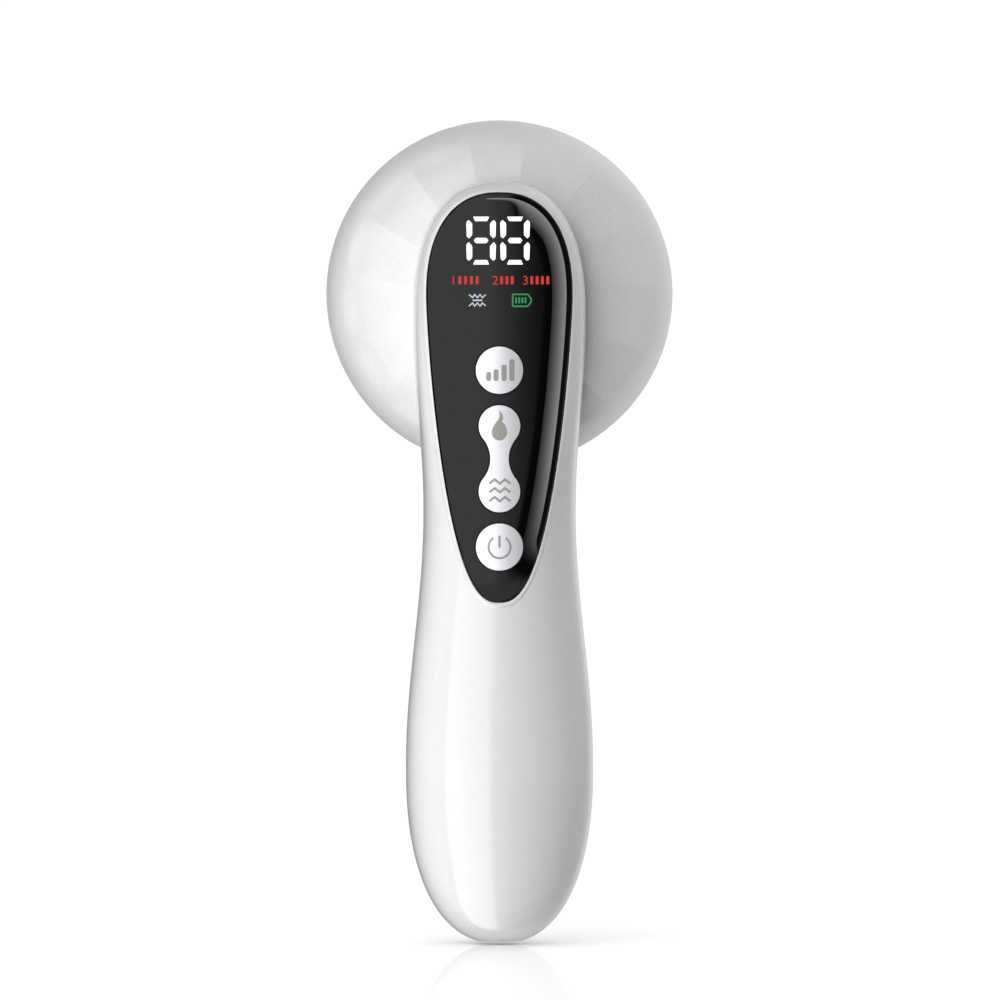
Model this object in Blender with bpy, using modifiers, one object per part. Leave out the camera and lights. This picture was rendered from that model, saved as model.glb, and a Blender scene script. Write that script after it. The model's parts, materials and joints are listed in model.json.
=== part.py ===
"""Handheld massager: a round domed head on a handle, with a raised tongue and a control panel.

The part stands on its tail. +Z runs from the tail to the head, the panel faces -Y and the massage
face looks along +Y. The origin is the middle of the tail's underside. Run with
blender --background --python part.py, or from the text editor.
"""
import bmesh
import bpy
import math
from mathutils import Matrix, Vector

MM = 0.001
WELD = 0.0005 * MM                  # points nearer than this are one point

# General clearances
GAP = 0.3 * MM                      # between two pieces that seat on each other
OVERRUN = 1.0 * MM                  # how far a cutter runs past what it cuts

# Outline of handle and tongue, seen from the front
HANDLE_HALF_WIDTH = 20.35 * MM
NECK_HALF_WIDTH = 16.55 * MM
TONGUE_HALF_WIDTH = 18.8 * MM
TAIL_CENTRE_Z = 38.0 * MM
TAIL_TRIM = 0.5 * MM                # how much of the tail's tip is cut flat
TAIL_REACH = TAIL_CENTRE_Z + TAIL_TRIM
NECK_Z = 93.6 * MM
TONGUE_Z = 136.0 * MM
TONGUE_REACH = 29.2 * MM
TAIL_ROUNDNESS = 2.33
ARCH_ROUNDNESS = 2.4

# Depths of the housing, either side of its parting plane
PARTING_Y = -9.5 * MM
HANDLE_FRONT_DEPTH = 15.5 * MM
TONGUE_FRONT_DEPTH = 17.5 * MM
TIP_FRONT_DEPTH = 15.5 * MM
HANDLE_BACK_DEPTH = 16.5 * MM
NECK_BACK_DEPTH = 11.5 * MM
HANDLE_ROUNDNESS = 2.3
TONGUE_ROUNDNESS = 5.0
FRONT_WALL = 2.6 * MM
REAR_WALL = 2.0 * MM
BAND_SHARES = (1.0, 0.98, 0.93, 0.84, 0.7, 0.5, 0.25, 0.0)

# Head
HEAD_Z = 140.75 * MM
HEAD_RADIUS = 37.75 * MM
DOME_DEPTH = 33.0 * MM
DOME_RIM_Y = 16.5 * MM
DOME_WALL = 2.2 * MM
DOME_ROUNDNESS = 2.4
SPIGOT_DEPTH = 4.0 * MM
SPIGOT_WALL = 2.4 * MM
DOME_HOLE_RADIUS = 4.5 * MM
DOME_HOLE_DROP = 21.75 * MM
DOME_HOLE_Z = HEAD_Z - DOME_HOLE_DROP
RING_DEPTH = 8.2 * MM
RING_WALL = 4.0 * MM
RING_TAPER = 1.6 * MM

# Massage face
FACE_Y = 27.5 * MM
PLATE_Y = 26.0 * MM
PLATE_CROWN = 1.4 * MM
PLATE_THICKNESS = 3.5 * MM
PLATE_FLOOR = 1.5 * MM              # what is left under pockets and grooves
PLATE_EDGE = 0.9 * MM
SEAL_HEIGHT = 1.4 * MM
SEAL_WIDTH = 1.8 * MM
PAD_MARGIN = 8.35 * MM              # from the head's edge in to the pads
PAD_WIDTH = 7.4 * MM
PAD_OUTER = HEAD_RADIUS - PAD_MARGIN
PAD_INNER = PAD_OUTER - PAD_WIDTH
WINDOW_MARGIN = 3.0 * MM
WINDOW_WIDTH = 4.0 * MM
WINDOW_OUTER = PAD_INNER - WINDOW_MARGIN
WINDOW_INNER = WINDOW_OUTER - WINDOW_WIDTH
HEAT_MARGIN = 2.3 * MM
HEAT_RADIUS = WINDOW_INNER - HEAT_MARGIN
HEATER_MARGIN = 2.5 * MM
HEATER_RADIUS = HEAT_RADIUS - HEATER_MARGIN
HEAT_EDGE = 0.8 * MM
HEATER_THICKNESS = 0.6 * MM
LIGHT_COUNT = 8
LIGHT_SIZE = 2.0 * MM
LIGHT_HEIGHT = 0.9 * MM
LIGHT_HOLE_RADIUS = 1.8 * MM
LIGHT_BOARD_MARGIN = 0.8 * MM
LIGHT_BOARD_THICKNESS = 1.0 * MM
PAD_COUNT = 4
PAD_HALF_ANGLE = math.radians(27)
PAD_EDGE = 0.8 * MM

# Control panel and keys
BEZEL_WIDTH = 2.83 * MM             # of the tongue, beside the panel
BEZEL_TOP_WIDTH = 2.5 * MM
PANEL_HALF_WIDTH = TONGUE_HALF_WIDTH - BEZEL_WIDTH
PANEL_Z = 140.0 * MM
PANEL_UP = TONGUE_Z + TONGUE_REACH - BEZEL_TOP_WIDTH - PANEL_Z
PANEL_DOWN = 66.55 * MM
PANEL_TOP_ROUNDNESS = 2.35
PANEL_DROP_POWER = 1.33
PANEL_DROP_ROOT = 0.4
PANEL_RECESS = 0.3 * MM
PANEL_THICKNESS = 1.1 * MM
PANEL_LEDGE = 1.5 * MM
KEY_PROUD = 0.7 * MM
KEY_TRAVEL = 0.4 * MM
KEY_FLANGE = 0.8 * MM               # its thickness, and how far it reaches past the key
KEY_STEM_RADIUS = 1.4 * MM
LEVEL_KEY_Z = 124.1 * MM
LEVEL_KEY_RADIUS = 5.18 * MM
POWER_KEY_Z = 85.75 * MM
POWER_KEY_RADIUS = 5.33 * MM
MODE_KEY_Z = 104.9 * MM
MODE_LOBE_OFFSET = 7.1 * MM
MODE_LOBE_RADIUS = 4.5 * MM
MODE_NECK_HALF_WIDTH = 2.0 * MM
MODE_ROCK_ROOM = 0.3 * MM

# Main board and what it carries
BOARD_FRONT_Y = -18.8 * MM
BOARD_THICKNESS = 1.2 * MM
BOARD_HALF_WIDTH = 10.0 * MM
BOARD_BOTTOM_Z = 80.0 * MM
BOARD_SETBACK = 6.7 * MM            # from the panel's top down
BOARD_TOP_Z = PANEL_Z + PANEL_UP - BOARD_SETBACK
BOARD_CORNER = 2.0 * MM
SWITCH_SIZE = 5.2 * MM
SWITCH_HEIGHT = 1.3 * MM
PLUNGER_RADIUS = 1.5 * MM
PLUNGER_RISE = 0.5 * MM
PLUNGER_BURIED = 0.5 * MM
PLUNGER_SPARE = 0.05 * MM           # room left under a plunger once its key is pressed
DISPLAY_MARGIN = 4.77 * MM
DISPLAY_HALF_WIDTH = PANEL_HALF_WIDTH - DISPLAY_MARGIN
DISPLAY_BOTTOM_Z = 139.5 * MM
DISPLAY_SETBACK = 4.1 * MM
DISPLAY_SHOULDER = 7.6 * MM         # height of its narrowing top
DISPLAY_TOP_Z = PANEL_Z + PANEL_UP - DISPLAY_SETBACK
DISPLAY_SHOULDER_Z = DISPLAY_TOP_Z - DISPLAY_SHOULDER
DISPLAY_TOP_HALF_WIDTH = 7.6 * MM
CHIP_SIZE = 7.0 * MM
CHIP_HEIGHT = 1.0 * MM
CHIP_Z = 133.0 * MM

# Battery and charging
CELL_RADIUS = 9.15 * MM
CELL_LENGTH = 65.0 * MM
CELL_BOTTOM_Z = 13.5 * MM
CELL_TIP_RADIUS = 3.0 * MM
CELL_TIP_HEIGHT = 1.0 * MM
HOLDER_WALL = 1.0 * MM
HOLDER_BOTTOM_Z = 15.5 * MM
HOLDER_LENGTH = 51.0 * MM
CELL_PAD_SIZE = 10.0 * MM
CELL_PAD_Z = 46.0 * MM
CELL_PAD_LENGTH = 20.0 * MM
SOCKET_HALF_WIDTH = 4.47 * MM
SOCKET_HALF_HEIGHT = 1.63 * MM
SOCKET_WALL = 0.3 * MM
SOCKET_LENGTH = 7.35 * MM
SOCKET_BOTTOM_Z = 0.7 * MM
SOCKET_FLOOR = 0.8 * MM
SOCKET_TONGUE_THICKNESS = 0.7 * MM
SOCKET_TONGUE_HALF_WIDTH = 3.3 * MM
SOCKET_TONGUE_SETBACK = 0.8 * MM
CHARGE_BOARD_HALF_WIDTH = 7.0 * MM
CHARGE_BOARD_BOTTOM_Z = 5.0 * MM
CHARGE_BOARD_HEIGHT = 7.6 * MM
CHARGE_BOARD_THICKNESS = 1.0 * MM
CHARGE_CHIP_SIZE = 3.0 * MM
CHARGE_CHIP_HEIGHT = 0.9 * MM

# Vibration motor, lying across the head
MOTOR_Y = -1.0 * MM
MOTOR_RISE = 2.25 * MM              # above the head's centre
MOTOR_Z = HEAD_Z + MOTOR_RISE
MOTOR_LEFT_X = -15.0 * MM
MOTOR_LENGTH = 20.0 * MM
MOTOR_RADIUS = 6.0 * MM
MOTOR_SHAFT_RADIUS = 1.0 * MM
MOTOR_SHAFT_REACH = 9.0 * MM
MOTOR_SHAFT_BURIED = 2.0 * MM
WEIGHT_RADIUS = 6.0 * MM
WEIGHT_LENGTH = 6.5 * MM
WEIGHT_HUB_RADIUS = 2.4 * MM
SLEEVE_WALL = 1.5 * MM
SLEEVE_LENGTH = 12.0 * MM
SLEEVE_SETBACK = 4.0 * MM
CLAMP_WALL = 1.2 * MM
CLAMP_LENGTH = 8.0 * MM
CLAMP_EAR = 6.0 * MM
RIB_THICKNESS = 1.6 * MM

# Driver board behind the massage face
DRIVER_SIDE_MARGIN = 16.25 * MM     # from the head's edge in to the board
DRIVER_TOP_MARGIN = 20.75 * MM
DRIVER_HALF_WIDTH = HEAD_RADIUS - DRIVER_SIDE_MARGIN
DRIVER_HALF_HEIGHT = HEAD_RADIUS - DRIVER_TOP_MARGIN
DRIVER_THICKNESS = 1.4 * MM
DRIVER_CORNER = 4.0 * MM
DRIVER_STANDOFF = 7.0 * MM
DRIVER_POST_RADIUS = 2.3 * MM
DRIVER_POST_INSET = 3.1 * MM
DRIVER_POST_X = DRIVER_HALF_WIDTH - DRIVER_POST_INSET
DRIVER_POST_Z = DRIVER_HALF_HEIGHT - DRIVER_POST_INSET
COIL_INSET = 8.5 * MM
COIL_CENTRE_X = DRIVER_HALF_WIDTH - COIL_INSET
COIL_CENTRE_Z = 6.5 * MM            # below the head's centre
CORE_SIZE = 9.0 * MM
CORE_HEIGHT = 7.0 * MM
CORE_YOKE = 1.5 * MM
CORE_LEG_RADIUS = 1.8 * MM
WINDING_RADIUS = 3.6 * MM

# Screws
SCREW_RADIUS = 1.1 * MM
SCREW_HEAD_RADIUS = 2.1 * MM
SCREW_HEAD_HEIGHT = 1.5 * MM
BOSS_RADIUS = 2.6 * MM
HOUSING_SCREW_LENGTH = 10.0 * MM
HOUSING_SEAT_Y = -5.0 * MM
LOW_SCREW_INSET = 6.15 * MM
LOW_SCREW_X = HANDLE_HALF_WIDTH - LOW_SCREW_INSET
LOW_SCREW_Z = 33.0 * MM
HIGH_SCREW_INSET = 5.55 * MM
HIGH_SCREW_X = NECK_HALF_WIDTH - HIGH_SCREW_INSET
HIGH_SCREW_Z = 88.5 * MM
HOUSING_BOSS_DEPTH = 7.6 * MM
HEAD_SCREW_INSET = 5.4 * MM
HEAD_SCREW_X = TONGUE_HALF_WIDTH - HEAD_SCREW_INSET
HEAD_SCREW_DROP = 9.75 * MM         # below the head's centre
HEAD_SCREW_Z = HEAD_Z - HEAD_SCREW_DROP
HEAD_SCREW_LENGTH = 8.0 * MM
HEAD_SEAT_RISE = 4.6 * MM
BOARD_SCREW_INSET = 2.2 * MM
BOARD_SCREW_RISE = 2.4 * MM
BOARD_SCREW_X = BOARD_HALF_WIDTH - BOARD_SCREW_INSET
BOARD_SCREW_Z = BOARD_BOTTOM_Z + BOARD_SCREW_RISE
BOARD_SCREW_LENGTH = 3.2 * MM
SMALL_SCREW_RADIUS = 0.8 * MM
SMALL_HEAD_RADIUS = 1.5 * MM
SMALL_HEAD_HEIGHT = 0.9 * MM

# Leads
LEAD_RADIUS = 0.6 * MM
CABLE_RADIUS = 1.3 * MM

# How finely round shapes are divided
TAIL_STEPS = 8
MIDDLE_STEPS = 9
ARCH_STEPS = 8
DOME_STEPS = 48
DOME_ARC_STEPS = 8
FACE_STEPS = 36
ROUND_STEPS = 24
SMALL_STEPS = 12
LEAD_STEPS = 3


# Scene and finishes

def clear_scene():
    for thing in list(bpy.data.objects):
        bpy.data.objects.remove(thing)


def new_collection(name):
    made = bpy.data.collections.new(name)
    bpy.context.scene.collection.children.link(made)
    return made


def finish(name, colour, roughness, metallic=0.0):
    if name in bpy.data.materials:
        return bpy.data.materials[name]
    made = bpy.data.materials.new(name)
    made.use_nodes = True
    shader = made.node_tree.nodes["Principled BSDF"]
    shader.inputs["Base Color"].default_value = (*colour, 1.0)
    shader.inputs["Roughness"].default_value = roughness
    shader.inputs["Metallic"].default_value = metallic
    made.diffuse_color = (*colour, 1.0)
    return made


def white_gloss():
    return finish("white_gloss", (0.86, 0.87, 0.88), 0.22)


def pearl_white():
    return finish("pearl_white", (0.80, 0.81, 0.82), 0.32)


def black_gloss():
    return finish("black_gloss", (0.006, 0.006, 0.007), 0.08)


def key_silver():
    return finish("key_silver", (0.78, 0.79, 0.80), 0.25)


def bright_trim():
    return finish("bright_trim", (0.75, 0.76, 0.78), 0.15, 1.0)


def stainless():
    return finish("stainless", (0.62, 0.62, 0.63), 0.2, 1.0)


def plain_steel():
    return finish("plain_steel", (0.50, 0.50, 0.52), 0.35, 1.0)


def soft_rubber():
    return finish("soft_rubber", (0.55, 0.56, 0.57), 0.7)


def dark_plastic():
    return finish("dark_plastic", (0.03, 0.03, 0.03), 0.45)


def clear_red():
    return finish("clear_red", (0.75, 0.08, 0.06), 0.2)


def circuit_green():
    return finish("circuit_green", (0.02, 0.20, 0.08), 0.4)


def copper_wire():
    return finish("copper_wire", (0.75, 0.33, 0.16), 0.35, 1.0)


def lead_red():
    return finish("lead_red", (0.55, 0.03, 0.02), 0.5)


def lead_black():
    return finish("lead_black", (0.02, 0.02, 0.02), 0.5)


def cell_wrap():
    return finish("cell_wrap", (0.05, 0.22, 0.55), 0.35)


# Building blocks. Each makes a closed mesh object in world coordinates.

def add_object(name, mesh):
    made = bpy.data.objects.new(name, mesh)
    work.objects.link(made)
    return made


def from_bmesh(name, shape):
    bmesh.ops.recalc_face_normals(shape, faces=shape.faces)
    mesh = bpy.data.meshes.new(name)
    shape.to_mesh(mesh)
    shape.free()
    return add_object(name, mesh)


def settle(made):
    """Turn an object with its modifiers or curve into a plain welded mesh."""
    bpy.context.view_layer.update()
    seen = made.evaluated_get(bpy.context.evaluated_depsgraph_get())
    mesh = bpy.data.meshes.new_from_object(seen)
    mesh.transform(made.matrix_world)
    shape = bmesh.new()
    shape.from_mesh(mesh)
    bmesh.ops.remove_doubles(shape, verts=shape.verts, dist=WELD)
    name = made.name
    bpy.data.objects.remove(made)
    bpy.data.meshes.remove(mesh)
    return from_bmesh(name, shape)


def cut(piece, tool, operation="DIFFERENCE"):
    """Apply one Boolean with an exact solver and drop the tool."""
    tool.hide_render = True
    tool.display_type = "WIRE"
    step = piece.modifiers.new(tool.name, "BOOLEAN")
    step.operation = operation
    step.object = tool
    piece = settle(piece)
    bpy.data.objects.remove(tool)
    return piece


def join_to(piece, tool):
    return cut(piece, tool, "UNION")


def keep_inside(piece, tool):
    return cut(piece, tool, "INTERSECT")


def gather(name, pieces):
    """Put separate solids of one node into a single object."""
    shape = bmesh.new()
    for piece in pieces:
        shape.from_mesh(piece.data)
        bpy.data.objects.remove(piece)
    return from_bmesh(name, shape)


def box(name, low, high):
    low, high = Vector(low), Vector(high)
    shape = bmesh.new()
    size = Matrix.Diagonal((*(high - low), 1.0))
    bmesh.ops.create_cube(shape, size=1.0, matrix=Matrix.Translation((low + high) / 2) @ size)
    return from_bmesh(name, shape)


def rod(name, radius, start, end, steps=ROUND_STEPS):
    """A round bar between two points."""
    start, end = Vector(start), Vector(end)
    along = end - start
    turn = along.to_track_quat("Z", "Y").to_matrix().to_4x4()
    shape = bmesh.new()
    bmesh.ops.create_cone(shape, cap_ends=True, segments=steps, radius1=radius, radius2=radius,
                          depth=along.length, matrix=Matrix.Translation((start + end) / 2) @ turn)
    return from_bmesh(name, shape)


def turned(name, profile, centre, steps=ROUND_STEPS, closed=False):
    """Spin a profile of (radius, y) points about the line through centre along Y."""
    mesh = bpy.data.meshes.new(name)
    edges = [(i, i + 1) for i in range(len(profile) - 1)]
    if closed:
        edges.append((len(profile) - 1, 0))
    mesh.from_pydata([(radius, 0, y) for radius, y in profile], edges, [])
    made = add_object(name, mesh)
    spin = made.modifiers.new("spin", "SCREW")
    spin.axis = "Z"
    spin.steps = steps
    spin.render_steps = steps
    spin.use_merge_vertices = True
    spin.merge_threshold = WELD
    made.rotation_euler = (math.radians(-90), 0, 0)
    made.location = (centre[0], 0, centre[1])
    return settle(made)


def plate(name, points, front_y, back_y):
    """A flat outline of (x, z) points with its thickness along Y."""
    curve = bpy.data.curves.new(name, "CURVE")
    curve.dimensions = "2D"
    curve.fill_mode = "BOTH"
    curve.extrude = abs(back_y - front_y) / 2
    line = curve.splines.new("POLY")
    line.points.add(len(points) - 1)
    for point, (x, z) in zip(line.points, points):
        point.co = (x, z, 0, 1)
    line.use_cyclic_u = True
    made = add_object(name, curve)
    made.rotation_euler = (math.radians(90), 0, 0)
    made.location = (0, (front_y + back_y) / 2, 0)
    return settle(made)


def wire(name, route, radius):
    """A lead on a smooth line through its route's own points."""
    curve = bpy.data.curves.new(name, "CURVE")
    curve.dimensions = "3D"
    curve.bevel_depth = radius
    curve.bevel_resolution = 1
    curve.use_fill_caps = True
    points = smooth_line([Vector(place) for place in route])
    line = curve.splines.new("POLY")
    line.points.add(len(points) - 1)
    for point, place in zip(line.points, points):
        point.co = (*place, 1)
    return settle(add_object(name, curve))


def smooth_line(places):
    """Points on a Catmull-Rom line through the given places."""
    ends = [places[0] * 2 - places[1]] + places + [places[-1] * 2 - places[-2]]
    points = []
    for before, start, end, after in zip(ends, ends[1:], ends[2:], ends[3:]):
        for step in range(LEAD_STEPS):
            t = step / LEAD_STEPS
            points.append(0.5 * (2 * start + (end - before) * t
                                 + (2 * before - 5 * start + 4 * end - after) * t ** 2
                                 + (3 * start - before - 3 * end + after) * t ** 3))
    return points + [places[-1]]


def rounded_box(half_width, low_z, high_z, corner, centre_x=0.0):
    """Outline of a rectangle with rounded corners, in (x, z)."""
    points = []
    for turn, side, z in ((0, 1, high_z - corner), (1, -1, high_z - corner),
                          (2, -1, low_z + corner), (3, 1, low_z + corner)):
        for step in range(4):
            angle = math.radians(90) * (turn + step / 3)
            points.append((centre_x + side * (half_width - corner) + corner * math.cos(angle),
                           z + corner * math.sin(angle)))
    return points


# The handle's form: closed outlines drawn in towards a spine and pushed out to the surface

def ease(start, end, share):
    return start + (end - start) * (1 - math.cos(math.pi * share)) / 2


def between(value, low, high):
    return min(max((value - low) / (high - low), 0.0), 1.0)


def half_width(z):
    if z < NECK_Z:
        return ease(HANDLE_HALF_WIDTH, NECK_HALF_WIDTH, between(z, TAIL_CENTRE_Z, NECK_Z))
    return ease(NECK_HALF_WIDTH, TONGUE_HALF_WIDTH, between(z, NECK_Z, TONGUE_Z))


def front_depth(z):
    if z < TONGUE_Z:
        return ease(HANDLE_FRONT_DEPTH, TONGUE_FRONT_DEPTH, between(z, NECK_Z, TONGUE_Z))
    return ease(TONGUE_FRONT_DEPTH, TIP_FRONT_DEPTH, between(z, TONGUE_Z, TONGUE_Z + TONGUE_REACH))


def back_depth(z):
    return ease(HANDLE_BACK_DEPTH, NECK_BACK_DEPTH, between(z, TAIL_CENTRE_Z, NECK_Z))


def front_roundness(z):
    return ease(HANDLE_ROUNDNESS, TONGUE_ROUNDNESS, between(z, POWER_KEY_Z, LEVEL_KEY_Z))


def back_roundness(z):
    return HANDLE_ROUNDNESS


def quarter(roundness, angle):
    """A point on the quarter superellipse of unit size, as (across, along)."""
    return math.cos(angle) ** (2 / roundness), math.sin(angle) ** (2 / roundness)


def outline(inset):
    """The handle's outline drawn in by inset: up its right side and down its left."""
    right = []
    for step in range(TAIL_STEPS):
        across, along = quarter(TAIL_ROUNDNESS, math.radians(90) * (1 - step / TAIL_STEPS))
        across = 0.0 if step == 0 else across
        right.append(((HANDLE_HALF_WIDTH - inset) * across,
                      TAIL_CENTRE_Z - (TAIL_REACH - inset) * along))
    for step in range(MIDDLE_STEPS):
        z = TAIL_CENTRE_Z + (TONGUE_Z - TAIL_CENTRE_Z) * step / MIDDLE_STEPS
        right.append((half_width(z) - inset, z))
    for step in range(ARCH_STEPS + 1):
        across, along = quarter(ARCH_ROUNDNESS, math.radians(90) * step / ARCH_STEPS)
        across = 0.0 if step == ARCH_STEPS else across
        right.append(((TONGUE_HALF_WIDTH - inset) * across, TONGUE_Z + (TONGUE_REACH - inset) * along))
    return right + [(-x, z) for x, z in reversed(right[1:-1])]


def spine_z(z):
    return min(max(z, TAIL_CENTRE_Z), TONGUE_Z)


def surface_y(z, share, inset, side):
    """Where the form lies at a height, for a share of the way from its spine to its outline."""
    depth, roundness = (front_depth, front_roundness) if side < 0 else (back_depth, back_roundness)
    bulge = (1 - share ** roundness(z)) ** (1 / roundness(z))
    return PARTING_Y + side * (depth(z) - inset) * bulge


def surface_at(x, z, inset, side):
    """The form's y at a place given by x and z."""
    if z < TAIL_CENTRE_Z:
        wide = abs(x) / (HANDLE_HALF_WIDTH - inset)
        high = (TAIL_CENTRE_Z - z) / (TAIL_REACH - inset)
        share = (wide ** TAIL_ROUNDNESS + high ** TAIL_ROUNDNESS) ** (1 / TAIL_ROUNDNESS)
    elif z > TONGUE_Z:
        wide = abs(x) / (TONGUE_HALF_WIDTH - inset)
        high = (z - TONGUE_Z) / (TONGUE_REACH - inset)
        share = (wide ** ARCH_ROUNDNESS + high ** ARCH_ROUNDNESS) ** (1 / ARCH_ROUNDNESS)
    else:
        share = abs(x) / (half_width(z) - inset)
    return surface_y(z, min(share, 1.0), inset, side)


def form(name, inset, side, base_y=PARTING_Y):
    """A closed solid from base_y out to the handle's surface drawn in by inset.

    side is -1 for the front and 1 for the back.
    """
    edge = outline(inset)
    rings = [[(x, base_y, z) for x, z in edge]]
    for share in BAND_SHARES:
        if share == 1.0 and base_y == PARTING_Y:
            continue
        ring = []
        for x, z in edge:
            near_z = spine_z(z) + (z - spine_z(z)) * share
            ring.append((x * share, surface_y(near_z, share, inset, side), near_z))
        rings.append(ring)
    shape = bmesh.new()
    rows = [[shape.verts.new(place) for place in ring] for ring in rings]
    count = len(edge)
    for low, high in zip(rows, rows[1:]):
        for i in range(count):
            shape.faces.new((low[i], low[(i + 1) % count], high[(i + 1) % count], high[i]))
    shape.faces.new(rows[0])
    bmesh.ops.remove_doubles(shape, verts=shape.verts, dist=WELD)
    below = bmesh.ops.bisect_plane(shape, geom=[*shape.verts, *shape.edges, *shape.faces], dist=WELD,
                                   plane_co=(0, 0, 0), plane_no=(0, 0, -1), clear_outer=True)
    rim = [part for part in below["geom_cut"] if isinstance(part, bmesh.types.BMEdge)]
    if rim:
        bmesh.ops.edgeloop_fill(shape, edges=rim)
    return from_bmesh(name, shape)


def slab(name, points, front_inset, back_inset):
    """A flat outline's piece of the front form, between two depths below its surface."""
    front_y = PARTING_Y - TONGUE_FRONT_DEPTH - OVERRUN
    made = plate(name, points, front_y, PARTING_Y - OVERRUN)
    made = keep_inside(made, form("form_front", front_inset, -1))
    return cut(made, form("form_back", back_inset, -1, PARTING_Y + OVERRUN))


# Outlines on the panel

def circle(radius, centre_z, steps=ROUND_STEPS, centre_x=0.0):
    return [(centre_x + radius * math.cos(math.tau * i / steps),
             centre_z + radius * math.sin(math.tau * i / steps)) for i in range(steps)]


def panel_outline(inset):
    """The egg shape of the control panel, drawn in by inset."""
    right = []
    steps = 2 * ARCH_STEPS
    for step in range(steps):
        angle = math.radians(90) * (1 - step / steps)
        drop = math.sin(angle) ** (2 / PANEL_DROP_POWER)
        across = math.cos(angle) ** (2 * PANEL_DROP_ROOT) if step else 0.0
        right.append(((PANEL_HALF_WIDTH - inset) * across, PANEL_Z - (PANEL_DOWN - inset) * drop))
    for step in range(ARCH_STEPS + 1):
        across, along = quarter(PANEL_TOP_ROUNDNESS, math.radians(90) * step / ARCH_STEPS)
        across = 0.0 if step == ARCH_STEPS else across
        right.append(((PANEL_HALF_WIDTH - inset) * across, PANEL_Z + (PANEL_UP - inset) * along))
    return right + [(-x, z) for x, z in reversed(right[1:-1])]


def mode_outline(outset):
    """The mode key's dumbbell: two lobes with a hollowed neck, grown by outset."""
    lobe, neck, offset = MODE_LOBE_RADIUS + outset, MODE_NECK_HALF_WIDTH + outset, MODE_LOBE_OFFSET
    hollow = (neck ** 2 + offset ** 2 - lobe ** 2) / (2 * (lobe - neck))
    corner = math.atan2(offset, neck + hollow)
    upper = []
    for step in range(4):
        angle = corner * step / 4
        upper.append((neck + hollow - hollow * math.cos(angle), hollow * math.sin(angle)))
    for step in range(13):
        angle = -corner + (math.radians(90) + corner) * step / 12
        upper.append((lobe * math.cos(angle), offset + lobe * math.sin(angle)))
    right = [(x, -z) for x, z in reversed(upper[1:])] + upper
    right[0], right[-1] = (0.0, right[0][1]), (0.0, right[-1][1])
    points = right + [(-x, z) for x, z in reversed(right[1:-1])]
    return [(x, MODE_KEY_Z + z) for x, z in points]


# Housing

BOARD_BACK_Y = BOARD_FRONT_Y + BOARD_THICKNESS
FRONT_LIMIT_Y = PARTING_Y - TONGUE_FRONT_DEPTH - OVERRUN
LENS_BACK = PANEL_RECESS + PANEL_THICKNESS


def dome_profile(grow):
    """Half of the dome's section from its rim to its apex, as (radius, y)."""
    points = []
    for step in range(DOME_ARC_STEPS + 1):
        across, along = quarter(DOME_ROUNDNESS, math.radians(90) * step / DOME_ARC_STEPS)
        across = 0.0 if step == DOME_ARC_STEPS else across
        points.append(((HEAD_RADIUS + grow) * across, DOME_RIM_Y - (DOME_DEPTH + grow) * along))
    return points


def dome_y(x, z, grow=0.0):
    """The dome's outer surface at a place seen from the front."""
    share = math.hypot(x, z - HEAD_Z) / (HEAD_RADIUS + grow)
    return DOME_RIM_Y - (DOME_DEPTH + grow) * (1 - share ** DOME_ROUNDNESS) ** (1 / DOME_ROUNDNESS)


def dome_solid(grow):
    top_y = DOME_RIM_Y + OVERRUN
    profile = [(0.0, top_y), (HEAD_RADIUS + grow, top_y)] + dome_profile(grow)
    return turned("dome_solid", profile, (0.0, HEAD_Z), DOME_STEPS)


def stadium(half_wide, half_high, steps=6):
    """A slot's outline about the parting plane, in (x, y)."""
    points = []
    for side in (1, -1):
        for step in range(steps + 1):
            angle = math.pi * step / steps - math.radians(90)
            points.append((side * (half_wide - half_high + half_high * math.cos(angle)),
                           PARTING_Y + side * half_high * math.sin(angle)))
    return points


def upright(name, points, low_z, high_z):
    """A flat outline of (x, y) points with its thickness along Z."""
    curve = bpy.data.curves.new(name, "CURVE")
    curve.dimensions = "2D"
    curve.fill_mode = "BOTH"
    curve.extrude = (high_z - low_z) / 2
    line = curve.splines.new("POLY")
    line.points.add(len(points) - 1)
    for point, (x, y) in zip(line.points, points):
        point.co = (x, y, 0, 1)
    line.use_cyclic_u = True
    made = add_object(name, curve)
    made.location = (0, 0, (low_z + high_z) / 2)
    return settle(made)


def port_cutter():
    outline_points = stadium(SOCKET_HALF_WIDTH + GAP, SOCKET_HALF_HEIGHT + GAP)
    return upright("port", outline_points, -OVERRUN, CHARGE_BOARD_BOTTOM_Z)


def housing_screw_places():
    return [(side * x, z) for x, z in ((LOW_SCREW_X, LOW_SCREW_Z), (HIGH_SCREW_X, HIGH_SCREW_Z))
            for side in (-1, 1)]


def head_screw_places():
    return [(side * HEAD_SCREW_X, HEAD_SCREW_Z) for side in (-1, 1)]


def board_screw_places():
    return [(side * BOARD_SCREW_X, BOARD_SCREW_Z) for side in (-1, 1)]


def rods(name, radius, places, start_y, end_y, steps=SMALL_STEPS):
    """Round bars along Y at (x, z) places. An end is a length or a function of the place."""
    made = []
    for x, z in places:
        start = start_y(x, z) if callable(start_y) else start_y
        end = end_y(x, z) if callable(end_y) else end_y
        made.append(rod(name, radius, (x, start, z), (x, end, z), steps))
    return gather(name, made)


def parting_block(side):
    """Takes away half of the gap between the housings, and all beyond it."""
    reach = TAIL_REACH + TONGUE_Z + TONGUE_REACH
    edge = PARTING_Y + side * GAP / 2
    far = PARTING_Y - side * HANDLE_BACK_DEPTH
    return box("parting", (-HEAD_RADIUS, min(edge, far), -OVERRUN), (HEAD_RADIUS, max(edge, far), reach))


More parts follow.
